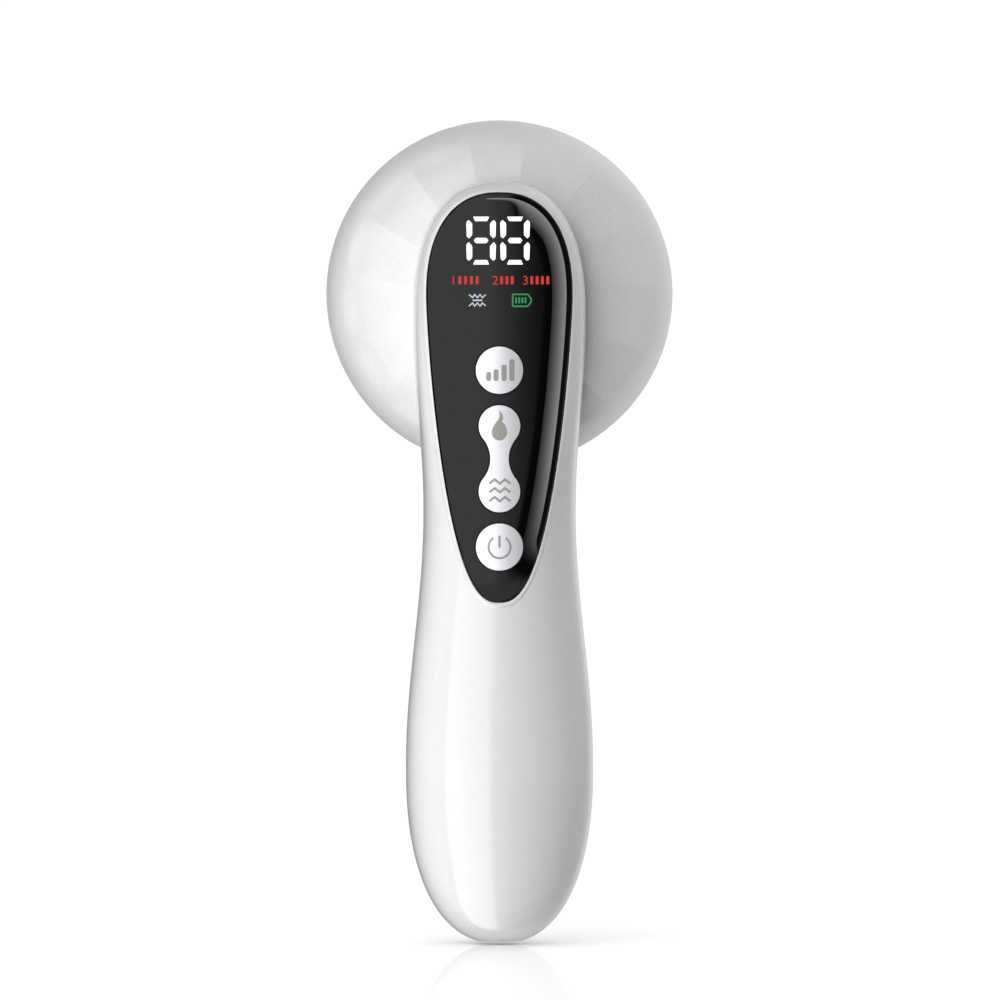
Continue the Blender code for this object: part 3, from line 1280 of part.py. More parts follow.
def head_cable():
    """From the main board through the dome's hole to the driver board."""
    x = CABLE_RADIUS + LEAD_RADIUS
    route = [(x, BOARD_BACK_Y + GAP, DOME_HOLE_Z), (x, (BOARD_BACK_Y + MOTOR_Y) / 2, DOME_HOLE_Z),
             (x, MOTOR_Y, DOME_HOLE_Z), (x, DRIVER_FRONT_Y - 2 * LEAD_BEND, DOME_HOLE_Z + LEAD_BEND),
             (x, DRIVER_FRONT_Y - LEAD_BEND, DOME_HOLE_Z + 2 * LEAD_BEND),
             (x, DRIVER_FRONT_Y - GAP, DOME_HOLE_Z + 2 * LEAD_BEND + GAP)]
    return wire("head_cable", route, CABLE_RADIUS)


def heater_lead():
    """From the driver board's back to the heater film."""
    end_y = POCKET_Y - HEATER_THICKNESS - GAP
    route = [(0.0, DRIVER_BACK_Y + GAP, HEAD_Z), (LEAD_BEND / 2, (DRIVER_BACK_Y + end_y) / 2, HEAD_Z),
             (0.0, end_y, HEAD_Z)]
    return wire("heater_lead", route, LEAD_RADIUS)


# The assembly

def dress(piece, material, origin=None, parent=None):
    """Give a finished piece its material and origin, and file it with the parts."""
    corners = [Vector(corner) for corner in piece.bound_box]
    origin = Vector(origin) if origin else (corners[0] + corners[6]) / 2
    piece.data.transform(Matrix.Translation(-origin))
    piece.data.shade_smooth()
    piece.data.set_sharp_from_angle(angle=math.radians(35))
    piece.data.materials.append(material)
    piece.parent = parent or root
    piece.location = origin - (parent.location if parent else Vector())
    work.objects.unlink(piece)
    parts.objects.link(piece)


def add_empty(name, place):
    made = bpy.data.objects.new(name, None)
    made.location = place
    parts.objects.link(made)
    return made


def build_housing():
    dress(front_housing(), white_gloss())
    dress(rear_housing(), white_gloss())
    dress(dome_cover(), pearl_white())
    dress(head_ring(), bright_trim())
    for screw in (large_screws("housing_screw", housing_screw_places(), HOUSING_SEAT_Y, HOUSING_SCREW_LENGTH)
                  + large_screws("head_screw", head_screw_places(), head_seat_y, HEAD_SCREW_LENGTH)):
        dress(screw, plain_steel())


def build_face():
    dress(massage_plate(), white_gloss())
    dress(head_seal(), soft_rubber())
    for index in range(PAD_COUNT):
        dress(electrode_pad(index), stainless())
    dress(heat_plate(), stainless())
    dress(heater_film(), copper_wire())
    dress(light_window(), clear_red())
    dress(light_board(), circuit_green())
    dress(driver_board(), circuit_green())
    for screw in small_screws("driver_screw", post_places(), DRIVER_FRONT_Y, -1,
                              DRIVER_THICKNESS + BOARD_SCREW_LENGTH):
        dress(screw, plain_steel())
    dress(transformer_core(), dark_plastic())
    dress(transformer_winding(), copper_wire())
    dress(heater_lead(), lead_red())


def build_motor():
    axis = add_empty("motor_axis", (MOTOR_LEFT_X + MOTOR_LENGTH, MOTOR_Y, MOTOR_Z))
    axis.parent = root
    dress(motor_can(), plain_steel())
    dress(motor_shaft(), plain_steel(), axis.location, axis)
    dress(eccentric_weight(), plain_steel(), axis.location, axis)
    dress(motor_sleeve(), soft_rubber())
    dress(motor_clamp(), dark_plastic())
    for screw in small_screws("clamp_screw", clamp_screw_places(), MOTOR_Y + GAP / 2 + CLAMP_WALL, 1,
                              BOARD_SCREW_LENGTH):
        dress(screw, plain_steel())
    dress(motor_lead(), lead_black())


def build_panel():
    dress(control_panel(), black_gloss())
    for made, z in ((level_button(), LEVEL_KEY_Z), (power_button(), POWER_KEY_Z)):
        dress(made, key_silver(), (0.0, STEM_END_Y, z))
    pivot = surface_at(0.0, MODE_KEY_Z, LENS_BACK + GAP + MODE_ROCK_ROOM + KEY_FLANGE / 2, -1)
    dress(mode_key(), key_silver(), (0.0, pivot, MODE_KEY_Z))
    dress(main_board(), circuit_green())
    for screw in small_screws("board_screw", board_screw_places(), BOARD_BACK_Y, 1, BOARD_SCREW_LENGTH):
        dress(screw, plain_steel())
    for name, z in switch_places().items():
        dress(switch_body(name, z), dark_plastic())
        dress(switch_plunger(name, z), dark_plastic(), (0.0, PLUNGER_TOP_Y, z))
    dress(display_module(), dark_plastic())
    dress(head_cable(), lead_black())


def build_power():
    dress(battery_cell(), cell_wrap())
    dress(battery_holder(), dark_plastic())
    dress(battery_pad(), soft_rubber())
    dress(charge_socket(), plain_steel())
    dress(charging_board(), circuit_green())
    dress(charge_lead(), lead_black())
    dress(battery_lead_negative(), lead_black())
    dress(battery_lead_positive(), lead_red())


clear_scene()
work = new_collection("cutters")
parts = new_collection("handheld_massager")
root = add_empty("massager_root", (0.0, 0.0, 0.0))
build_housing()
build_face()
build_motor()
build_panel()
build_power()
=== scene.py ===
import json
import math
import bmesh
import bpy
from mathutils import Matrix, Vector


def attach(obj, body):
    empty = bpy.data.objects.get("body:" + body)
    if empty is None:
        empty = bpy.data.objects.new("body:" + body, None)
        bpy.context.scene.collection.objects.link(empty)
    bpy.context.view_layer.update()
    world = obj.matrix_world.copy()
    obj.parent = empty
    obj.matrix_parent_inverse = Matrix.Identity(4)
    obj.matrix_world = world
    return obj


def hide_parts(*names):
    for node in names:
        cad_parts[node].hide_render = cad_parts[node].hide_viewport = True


mm = 0.001


# Small helpers

def deselectAll():
    if bpy.context.object and bpy.context.object.mode != "OBJECT":
        bpy.ops.object.mode_set(mode="OBJECT")
    bpy.ops.object.select_all(action="DESELECT")


def pick(piece):
    deselectAll()
    piece.select_set(True)
    bpy.context.view_layer.objects.active = piece
    return piece


def edit(piece, action="SELECT"):
    pick(piece)
    bpy.ops.object.mode_set(mode="EDIT")
    bpy.ops.mesh.select_all(action=action)
    return liveShape(piece)


def liveShape(piece):
    shape = bmesh.from_edit_mesh(piece.data)
    shape.verts.ensure_lookup_table()
    return shape


def useModifier(piece, kind, **settings):
    pick(piece)
    modifier = piece.modifiers.new(kind.lower(), kind)
    for name, value in settings.items():
        setattr(modifier, name, value)
    bpy.ops.object.modifier_apply(modifier=modifier.name)
    return piece


def tidyMesh(piece, smoothAngle=30):
    # merges doubles, points faces out and smooths
    edit(piece)
    bpy.ops.mesh.remove_doubles(threshold=0.004 * mm)
    bpy.ops.mesh.normals_make_consistent(inside=False)
    bpy.ops.object.mode_set(mode="OBJECT")
    bpy.ops.object.shade_smooth_by_angle(angle=math.radians(smoothAngle))
    return piece


def combine(piece, tool, operation="DIFFERENCE"):
    useModifier(piece, "BOOLEAN", object=tool, operation=operation, solver="EXACT")
    bpy.data.objects.remove(tool)
    return piece


def join(name, pieces):
    pick(pieces[0])
    for piece in pieces[1:]:
        piece.select_set(True)
    bpy.ops.object.join()
    pieces[0].name = name
    return pieces[0]


def extrudeRings(name, rings, fillFirst=True, fillLast=True):
    # a circle's rim extruded ring by ring, each new ring put in its place
    deselectAll()
    bpy.ops.mesh.primitive_circle_add(vertices=len(rings[0]), radius=10 * mm)
    piece = bpy.context.object
    piece.name = name
    shape = edit(piece)
    ring = list(range(len(rings[0])))
    for index, place in zip(ring, rings[0]):
        shape.verts[index].co = place
    for places in rings[1:]:
        bpy.ops.mesh.extrude_edges_move()
        shape = liveShape(piece)
        ring = [next(edge.other_vert(shape.verts[index]) for edge in shape.verts[index].link_edges
                     if edge.other_vert(shape.verts[index]).select).index for index in ring]
        for index, place in zip(ring, places):
            shape.verts[index].co = place
    if fillLast:
        bpy.ops.mesh.edge_face_add()
    if fillFirst:
        bpy.ops.mesh.select_all(action="DESELECT")
        shape = liveShape(piece)
        for index in range(len(rings[0])):
            shape.verts[index].select = True
        shape.select_flush(True)
        bpy.ops.mesh.edge_face_add()
    bmesh.update_edit_mesh(piece.data)
    bpy.ops.object.mode_set(mode="OBJECT")
    piece.matrix_world = Matrix.Identity(4)
    return piece


def spinProfile(name, profile, centreZ, steps, closed=False):
    # a profile of (radius, y) spun about a line along y
    points = profile + profile[:1] if closed else profile
    deselectAll()
    bpy.ops.mesh.primitive_plane_add(size=1 * mm)
    piece = bpy.context.object
    piece.name = name
    edit(piece)
    bpy.ops.mesh.merge(type="CENTER")
    for index, (radius, y) in enumerate(points):
        if index:
            bpy.ops.mesh.extrude_vertices_move()
        next(vert for vert in liveShape(piece).verts if vert.select).co = (radius, y, centreZ)
    bmesh.update_edit_mesh(piece.data)
    bpy.ops.mesh.select_all(action="SELECT")
    bpy.ops.mesh.spin(steps=steps, angle=math.tau, center=(0, 0, centreZ), axis=(0, 1, 0))
    bpy.ops.object.mode_set(mode="OBJECT")
    piece.matrix_world = Matrix.Identity(4)
    return tidyMesh(piece)


def prism(name, outline, frontY, backY):
    # an outline of (x, z) extruded along y
    return tidyMesh(extrudeRings(name, [[(x, y, z) for x, z in outline] for y in (frontY, backY)]))


def arc(x, z, radius, first, last, steps=6):
    # points round a middle, the angles in degrees
    turns = [math.radians(first + (last - first) * step / steps) for step in range(steps + 1)]
    return [(x + radius * math.cos(turn), z + radius * math.sin(turn)) for turn in turns]


def circleOutline(x, z, radius, count):
    return arc(x, z, radius, 0, 360, count)[:-1]


def drawIn(outline, share, middleX, middleZ):
    return [(middleX + (x - middleX) * share, middleZ + (z - middleZ) * share) for x, z in outline]


def steerNormals(piece, aim):
    # each vertex of the front takes the normal that aim gives for its place, where it gives one
    mesh, found = piece.data, {}
    normals = [Vector(normal.vector) for normal in mesh.corner_normals]
    for polygon in mesh.polygons:
        if polygon.normal.y > -0.6:
            continue
        for corner in polygon.loop_indices:
            index = mesh.loops[corner].vertex_index
            if index not in found:
                found[index] = aim(*mesh.vertices[index].co)
            if found[index] is not None:
                normals[corner] = found[index]
    mesh.normals_split_custom_set(normals)
    return piece


# The handle's form, in the same sizes as the solids

body = {
    "handleHalf": 20.35 * mm, "neckHalf": 16.55 * mm, "tongueHalf": 18.8 * mm,
    "tailZ": 38.0 * mm, "tailReach": 38.5 * mm, "neckZ": 93.6 * mm,
    "tongueZ": 136.0 * mm, "tongueReach": 29.2 * mm,
    "tailRound": 2.33, "archRound": 2.4,
    "partingY": -9.5 * mm, "gap": 0.3 * mm, "partingGap": 0.04 * mm,
    "frontDepth": 15.5 * mm, "tongueDepth": 17.5 * mm, "tipDepth": 15.5 * mm,
    "backDepth": 16.5 * mm, "neckBackDepth": 11.5 * mm,
    "handleRound": 2.3, "tongueRound": 5.0, "endSteps": 44, "sideSteps": 84,
    "powerKeyZ": 85.75 * mm, "levelKeyZ": 124.1 * mm, "modeKeyZ": 104.9 * mm,
    "cutterSize": (60 * mm, 40 * mm, 200 * mm), "cutterZ": 90 * mm,
}


def clamp(share):
    return min(max(share, 0.0), 1.0)


def smooth(share):
    share = clamp(share)
    return share * share * (3 - 2 * share)


def ease(start, end, value, low, high):
    # from start to end along half a wave, as the value goes from low to high
    return start + (end - start) * (1 - math.cos(math.pi * clamp((value - low) / (high - low)))) / 2


def halfWidth(z):
    if z < body["neckZ"]:
        return ease(body["handleHalf"], body["neckHalf"], z, body["tailZ"], body["neckZ"])
    return ease(body["neckHalf"], body["tongueHalf"], z, body["neckZ"], body["tongueZ"])


def formDepth(z, side):
    if side > 0:
        return ease(body["backDepth"], body["neckBackDepth"], z, body["tailZ"], body["neckZ"])
    if z < body["tongueZ"]:
        return ease(body["frontDepth"], body["tongueDepth"], z, body["neckZ"], body["tongueZ"])
    top = body["tongueZ"] + body["tongueReach"]
    return ease(body["tongueDepth"], body["tipDepth"], z, body["tongueZ"], top)


def formRound(z, side):
    if side > 0:
        return body["handleRound"]
    return ease(body["handleRound"], body["tongueRound"], z, body["powerKeyZ"], body["levelKeyZ"])


def endCurve(half, z, reach, steps, acrossPower, alongPower):
    # (x, z) from the side at z round to the tip
    curve = []
    for step in range(steps + 1):
        turn = math.radians(90) * step / steps
        across = 0.0 if step == steps else math.cos(turn) ** acrossPower
        curve.append((half * across, z + reach * math.sin(turn) ** alongPower))
    return curve


def mirrorOutline(right):
    return right + [(-x, z) for x, z in reversed(right[1:-1])]


def handleOutline(inset):
    tail, arch, sideSteps = 2 / body["tailRound"], 2 / body["archRound"], body["sideSteps"]
    right = endCurve(body["handleHalf"] - inset, body["tailZ"], inset - body["tailReach"], body["endSteps"],
                     tail, tail)[:0:-1]
    for step in range(sideSteps):
        z = body["tailZ"] + (body["tongueZ"] - body["tailZ"]) * step / sideSteps
        right.append((halfWidth(z) - inset, z))
    return mirrorOutline(right + endCurve(body["tongueHalf"] - inset, body["tongueZ"],
                                          body["tongueReach"] - inset, body["endSteps"], arch, arch))


def formY(z, share, inset, side):
    power = formRound(z, side)
    bulge = max(1 - share ** power, 0.0) ** (1 / power)
    return body["partingY"] + side * (formDepth(z, side) - inset) * bulge


def outlineShare(x, z, inset=0.0):
    # how far out a place lies: 0 on the spine, 1 on the outline
    for past, half, reach, power in ((body["tailZ"] - z, "handleHalf", "tailReach", body["tailRound"]),
                                     (z - body["tongueZ"], "tongueHalf", "tongueReach", body["archRound"])):
        if past > 0:
            wide, high = abs(x) / (body[half] - inset), past / (body[reach] - inset)
            return (wide ** power + high ** power) ** (1 / power)
    return abs(x) / (halfWidth(z) - inset)


def surfaceY(x, z, inset=0.0, side=-1):
    # the form's y at a place seen from the front
    return formY(z, min(outlineShare(x, z, inset), 1.0), inset, side)


def layOn(outline, deeper):
    # an outline laid on the front's form, or that much deeper
    return [(x, surfaceY(x, z) + deeper, z) for x, z in outline]


def formRings(inset, side, baseY, steps):
    # rings from the base at the parting plane over the form to its spine
    edge = handleOutline(inset)
    rings = [[(x, baseY, z) for x, z in edge]]
    for step in range(steps + 1):
        turn = math.radians(90) * step / steps
        ring = []
        for x, z in edge:
            near = min(max(z, body["tailZ"]), body["tongueZ"])
            share = 0.0 if step == steps else math.cos(turn) ** (2 / formRound(near, side))
            placeZ = near + (z - near) * share
            ring.append((x * share, formY(placeZ, share, inset, side), placeZ))
        rings.append(ring)
    return rings


def formSolid(name, inset, side, baseY, steps=26):
    piece = tidyMesh(extrudeRings(name, formRings(inset, side, baseY, steps), fillLast=False))
    edit(piece)
    bpy.ops.mesh.bisect(plane_co=(0, 0, 0), plane_no=(0, 0, -1), use_fill=True, clear_outer=True)
    bpy.ops.object.mode_set(mode="OBJECT")
    return piece


def partingCutter(side):
    # everything beyond half the gap between the two housings
    deselectAll()
    wide, deep, high = body["cutterSize"]
    edgeY = body["partingY"] + side * body["partingGap"] / 2
    bpy.ops.mesh.primitive_cube_add(size=1, location=(0, edgeY - side * deep / 2, body["cutterZ"]),
                                    scale=(wide, deep, high))
    bpy.ops.object.transform_apply()
    return bpy.context.object


# The head's dome

head = {
    "z": 140.75 * mm, "radius": 37.75 * mm, "depth": 33.0 * mm, "rimY": 16.5 * mm, "round": 2.4,
    "wall": 2.2 * mm, "ringDepth": 8.2 * mm, "ringWall": 4.0 * mm,
    "ringTaper": 0.88 * mm, "taperPower": 2.4, "ringEdge": 0.25 * mm, "ringRound": 1.2 * mm,
    "ringFlat": 0.1 * mm, "ringInner": 0.4 * mm,
}
plateRadius = head["radius"] - head["ringWall"] - body["gap"]


def domeProfile(grow, steps):
    power = 2 / head["round"]
    return endCurve(head["radius"] + grow, head["rimY"], -head["depth"] - grow, steps, power, power)


def domeCutter(grow):
    topY = head["rimY"] + 1 * mm
    profile = [(0.0, topY), (head["radius"] + grow, topY)] + domeProfile(grow, 30)
    return spinProfile("domeCutter", profile, head["z"], 120)


# Housings

housing = {
    "frontWall": 2.6 * mm, "rearWall": 2.0 * mm, "edgeRound": 0.25 * mm,
    "portHalfWide": 4.77 * mm, "portHalfHigh": 1.93 * mm, "portHeight": 20 * mm,
    "wellRadius": 2.4 * mm, "wellWall": 1.2 * mm, "wellSeatY": -5.0 * mm, "shaftRadius": 1.3 * mm,
    "edgeFrom": 0.96, "insideSteps": 14, "backY": 10 * mm, "frontY": -32 * mm,
    "windowY": -8 * mm, "bossLap": 0.2 * mm, "passageY": -12 * mm,
    "wells": [(-14.2 * mm, 33 * mm), (14.2 * mm, 33 * mm), (-11.0 * mm, 88.5 * mm), (11.0 * mm, 88.5 * mm)],
}


def portCutter():
    wide, high, middleY = housing["portHalfWide"], housing["portHalfHigh"], body["partingY"]
    outline = arc(wide - high, middleY, high, -90, 90, 16) + arc(high - wide, middleY, -high, -90, 90, 16)
    rings = [[(x, y, z) for x, y in outline] for z in (-1 * mm, housing["portHeight"])]
    return tidyMesh(extrudeRings("portCutter", rings))


def roundPartingEdge(piece, side):
    # a small round along the outer edge of the parting face, which leaves the foot flat
    shape = edit(piece, "DESELECT")
    edgeY = body["partingY"] + side * body["partingGap"] / 2
    for edge in shape.edges:
        if all(abs(vert.co.y - edgeY) < 0.01 * mm for vert in edge.verts) and len(edge.link_faces) == 2:
            middle = (edge.verts[0].co + edge.verts[1].co) / 2
            outside = outlineShare(middle.x, middle.z) > housing["edgeFrom"]
            if edge.calc_face_angle(0.0) > math.radians(40) and outside:
                edge.select = True
    shape.select_flush(True)
    bmesh.update_edit_mesh(piece.data)
    bpy.ops.mesh.bevel(offset=housing["edgeRound"], segments=3, affect="EDGES", clamp_overlap=True)
    bpy.ops.object.mode_set(mode="OBJECT")
    for vert in piece.data.vertices:
        vert.co.z = max(vert.co.z, 0.0)
    return piece


def insideForm(name, side, wall):
    return formSolid(name, wall, side, body["partingY"] - side * mm, housing["insideSteps"])


def wellBoss(x, z):
    boss = prism("boss", circleOutline(x, z, housing["wellRadius"] + housing["wellWall"], 40),
                 body["partingY"] + housing["bossLap"], housing["backY"])
    return combine(boss, insideForm("skin", 1, housing["rearWall"] / 2), "INTERSECT")


def halfShell(name, side, wall, wells=()):
    # one half of the form, hollowed, cleared for the dome and cut back to the parting gap
    shell = combine(formSolid(name, 0.0, side, body["partingY"]), insideForm("inside", side, wall))
    for x, z in wells:
        shell = combine(shell, wellBoss(x, z), "UNION")
    shell = combine(shell, domeCutter(body["gap"]))
    return roundPartingEdge(combine(shell, partingCutter(side)), side)


def buildFrontShell():
    shell = halfShell("frontShell", -1, housing["frontWall"])
    shell = combine(shell, prism("window", panelOutline(-panel["gap"]), housing["frontY"], housing["windowY"]))
    return combine(shell, portCutter())


def buildRearShell():
    shell = halfShell("rearShell", 1, housing["rearWall"], housing["wells"])
    for x, z in housing["wells"]:
        shell = combine(shell, prism("well", circleOutline(x, z, housing["wellRadius"], 48),
                                     housing["wellSeatY"], housing["backY"]))
        shell = combine(shell, prism("passage", circleOutline(x, z, housing["shaftRadius"], 32),
                                     housing["passageY"], 0))
    return combine(shell, portCutter())


# Control panel

panel = {
    "half": 15.85 * mm, "z": 140.0 * mm, "up": 22.65 * mm, "down": 66.3 * mm,
    "topRound": 2.35, "dropPower": 1.33, "dropRoot": 0.4,
    "recess": 0.3 * mm, "thick": 1.1 * mm, "gap": 0.3 * mm, "edge": 0.35 * mm, "backEdge": 0.2 * mm,
    "openingY": -12 * mm,
    "rimWide": 6.2 * mm, "rimTilt": 34, "rimRunOut": 10 * mm, "rimClear": 4 * mm, "crownPerMm": 0.3,
    "dropSteps": 90, "archSteps": 50, "middleZ": 128 * mm, "edgeShare": 0.016, "rimPower": 1.2,
    "flatFrom": 0.5, "flatOver": 0.37, "flatten": 0.8, "leanOver": 0.35,
    "lipGap": 0.04 * mm, "lipWide": 1.2 * mm, "lipProud": 0.2 * mm, "lipDeep": 1.2 * mm,
}


def panelOutline(inset):
    half, top = panel["half"] - inset, 2 / panel["topRound"]
    drop = endCurve(half, panel["z"], inset - panel["down"], panel["dropSteps"],
                    2 * panel["dropRoot"], 2 / panel["dropPower"])
    return mirrorOutline(drop[:0:-1] + endCurve(half, panel["z"], panel["up"] - inset, panel["archSteps"],
                                                top, top))


def panelRing(share, deeper):
    # the panel's outline drawn in to a share of its size, laid on the housing's form
    return layOn(drawIn(panelOutline(0.0), share, 0.0, panel["middleZ"]), deeper)


def buildPanelLens():
    recess, edge = panel["recess"], panel["edge"]
    back = recess + panel["thick"]
    rings = [panelRing(share, back) for share in (0.02, 0.6, 0.985)]
    rings += [panelRing(1.0, back - panel["backEdge"]), panelRing(1.0, recess + edge)]
    for turn in (20, 45, 70):
        turn = math.radians(turn)
        share = 1.0 - panel["edgeShare"] * (1 - math.cos(turn))
        rings.append(panelRing(share, recess + edge * (1 - math.sin(turn))))
    for step in range(24):
        rings.append(panelRing((1.0 - panel["edgeShare"]) * (1 - step / 24), recess))
    lens = tidyMesh(extrudeRings("panelLens", rings))
    for outline in (circleOutline(0, body["levelKeyZ"], keys["levelRadius"] + panel["gap"], 96),
                    circleOutline(0, body["powerKeyZ"], keys["powerRadius"] + panel["gap"], 96),
                    modeOutline(panel["gap"])):
        lens = combine(lens, prism("opening", outline, housing["frontY"], panel["openingY"]))
    return followForm(lens, recess)


def nearestRim(x, z, spans):
    # how far a place is from the panel's outline, and the outline's outward direction there
    place, near, outward = Vector((x, z)), 1.0, None
    for start, end in spans:
        along = end - start
        gap = (place - start - along * clamp((place - start).dot(along) / along.length_squared)).length
        if gap < near:
            near, outward = gap, Vector((along.y, -along.x)).normalized()
    return near, outward


def followForm(lens, deeper):
    # the front's gloss: a faint crown across it, and a rim that falls away evenly all round
    outline = [Vector(point) for point in panelOutline(0.0)]
    spans = list(zip(outline, outline[1:] + outline[:1]))

    def aim(x, y, z):
        if abs(surfaceY(x, z) + deeper - y) > 0.03 * mm:
            return None
        near, outward = nearestRim(x, z, spans)
        rim = max(1 - near / panel["rimWide"], 0) ** panel["rimPower"]
        foot = smooth((z - panel["z"] + panel["down"] - panel["rimClear"]) / panel["rimRunOut"])
        tilt = math.tan(math.radians(panel["rimTilt"] * rim)) * foot
        crown = math.tan(math.radians(panel["crownPerMm"] * x / mm)) * (1 - rim)
        across = outward.x * smooth(abs(outward.x) / panel["leanOver"])
        along = outward.y * (1 - panel["flatten"] * clamp((-outward.y - panel["flatFrom"]) / panel["flatOver"]))
        return Vector((crown + across * tilt, -1, along * tilt)).normalized()

    return steerNormals(lens, aim)


def buildPanelLip():
    # a fine raised bead that frames the panel
    wide, proud, deep = panel["lipWide"], panel["lipProud"], panel["lipDeep"]
    section = [(0.0, deep), (0.0, 0.05 * mm), (0.06 * wide, -0.6 * proud), (0.2 * wide, -0.95 * proud),
               (0.4 * wide, -proud), (0.62 * wide, -0.85 * proud), (0.82 * wide, -0.45 * proud),
               (0.95 * wide, 0.0), (wide, 0.3 * mm), (wide, deep)]
    rings = [layOn(panelOutline(-panel["lipGap"] - out), deeper) for out, deeper in section + section[:1]]
    return tidyMesh(extrudeRings("panelLip", rings, fillFirst=False, fillLast=False), 50)


# Keys

keys = {
    "proud": 0.7 * mm, "skirt": 2.6 * mm, "levelRadius": 5.12 * mm, "powerRadius": 5.1 * mm,
    "lobeOffset": 7.1 * mm, "lobeRadius": 4.5 * mm, "neckHalf": 2.0 * mm,
    "crownRadius": 19 * mm, "edge": 0.32 * mm, "barrelWide": 60 * mm, "overCut": 2 * mm,
    "inlayDeep": 0.35 * mm, "inlayProud": 0.02 * mm,
}


def modeOutline(outset):
    # two round lobes joined by a hollow neck
    lobe, neck, offset = keys["lobeRadius"] + outset, keys["neckHalf"] + outset, keys["lobeOffset"]
    hollow = (neck ** 2 + offset ** 2 - lobe ** 2) / (2 * (lobe - neck))
    corner = math.degrees(math.atan2(offset, neck + hollow))
    upper = arc(neck + hollow, 0, -hollow, 0, -corner, 12)[:-1] + arc(0, offset, lobe, -corner, 90, 44)
    right = [(x, -z) for x, z in reversed(upper[1:])] + upper
    right[0], right[-1] = (0.0, right[0][1]), (0.0, right[-1][1])
    return [(x, body["modeKeyZ"] + z) for x, z in mirrorOutline(right)]


def keyFront(z):
    return surfaceY(0, z) - keys["proud"]


def crownSolid(z, extra=0.0):
    # a wide, shallow barrel whose front gives a key its crown
    deselectAll()
    bpy.ops.mesh.primitive_cylinder_add(vertices=360, radius=keys["crownRadius"], depth=keys["barrelWide"],
                                        location=(0, keyFront(z) - extra + keys["crownRadius"], z))
    bpy.ops.object.transform_apply()
    return bpy.context.object


def crownGloss(key, middleY):
    # the crown's own normals, so that its gloss runs clean over the facets
    def aim(x, y, z):
        on = abs(math.hypot(x, y - middleY) - keys["crownRadius"]) < 0.01 * mm
        return Vector((x, y - middleY, 0)).normalized() if on else None

    return steerNormals(key, aim)


def buildKey(name, outline, z):
    key = prism(name, outline, keyFront(z) - keys["overCut"], keyFront(z) + keys["skirt"])
    key = combine(key, crownSolid(z), "INTERSECT")
    useModifier(key, "BEVEL", width=keys["edge"], segments=4, limit_method="ANGLE",
                angle_limit=math.radians(50), harden_normals=False)
    return crownGloss(tidyMesh(key, 35), keyFront(z) + keys["crownRadius"])


def inlay(name, outline, z):
    # a printed mark that lies on a key's crown
    mark = prism(name, outline, keyFront(z) - keys["overCut"], keyFront(z) + keys["inlayDeep"])
    return combine(mark, crownSolid(z, keys["inlayProud"]), "INTERSECT")


# Printed marks on the keys, in mm, x from the middle and z from the foot

marks = {
    "barWidth": 1.14, "barLefts": [-2.93, -1.32, 0.42, 2.12], "barTops": [123.75, 124.3, 125.3, 126.5],
    "barFoot": 121.74,
    "flame": [(-0.02, 108.82), (-0.66, 108.97), (-1.2, 109.35), (-1.56, 109.92), (-1.68, 110.55),
              (-1.62, 111.15), (-1.38, 111.8), (-1.0, 112.45), (-0.52, 113.05), (-0.2, 113.5),
              (0.0, 114.0), (0.06, 114.6), (-0.06, 115.15), (-0.02, 115.36), (0.12, 115.3),
              (0.45, 114.85), (0.74, 114.3), (0.82, 113.8), (0.72, 113.3), (0.52, 112.95),
              (0.5, 112.85), (0.75, 112.75), (1.05, 112.5), (1.36, 112.0), (1.58, 111.3),
              (1.66, 110.6), (1.54, 109.95), (1.18, 109.36), (0.64, 108.97)],
    "waveX": [-2.24, -1.06, 0.1, 1.16, 2.38], "waveLows": [99.5, 97.6, 95.68], "waveRise": 0.94,
    "waveWidth": 0.5, "ringRadius": 2.38, "ringWidth": 0.46, "ringGap": 34, "ringZ": 85.72,
    "stemTop": 88.25, "stemFoot": 85.6, "stemWidth": 0.5,
}


def ribbonOutline(points, width):
    # an open line of points given a width
    left, right = [], []
    for i, (x, z) in enumerate(points):
        before = Vector(points[max(i - 1, 0)])
        after = Vector(points[min(i + 1, len(points) - 1)])
        here = Vector((x, z))
        first = (here - before).normalized() if i else (after - here).normalized()
        second = (after - here).normalized() if i < len(points) - 1 else first
        middle = (first + second).normalized()
        reach = width / 2 / max(middle.dot(first), 0.4)
        side = Vector((-middle.y, middle.x)) * reach
        left.append((x + side.x, z + side.y))
        right.append((x - side.x, z - side.y))
    return left + right[::-1]


def barOutline(left, right, foot, top, corner, steps=6):
    points = []
    for x, z, start in ((right - corner, top - corner, 0), (left + corner, top - corner, 90),
                        (left + corner, foot + corner, 180), (right - corner, foot + corner, 270)):
        points += arc(x, z, corner, start, start + 90, steps)
    return points


def softCorners(points, corner, steps=3):
    # each corner of an outline rounded by a short curve
    rounded = []
    for i, point in enumerate(points):
        here, before, after = Vector(point), Vector(points[i - 1]), Vector(points[(i + 1) % len(points)])
        into = here + (before - here).normalized() * min(corner, (before - here).length / 2.2)
        out = here + (after - here).normalized() * min(corner, (after - here).length / 2.2)
        for step in range(steps + 1):
            share = step / steps
            place = into * (1 - share) ** 2 + here * 2 * share * (1 - share) + out * share ** 2
            rounded.append((place.x, place.y))
    return rounded


def inMm(points):
    return [(x * mm, z * mm) for x, z in points]


def buildLevelMarks():
    made = []
    for left, top in zip(marks["barLefts"], marks["barTops"]):
        outline = barOutline(left, left + marks["barWidth"], marks["barFoot"], top, marks["barWidth"] * 0.46)
        made.append(inlay("levelBar", inMm(outline), body["levelKeyZ"]))
    return join("levelMarks", made)


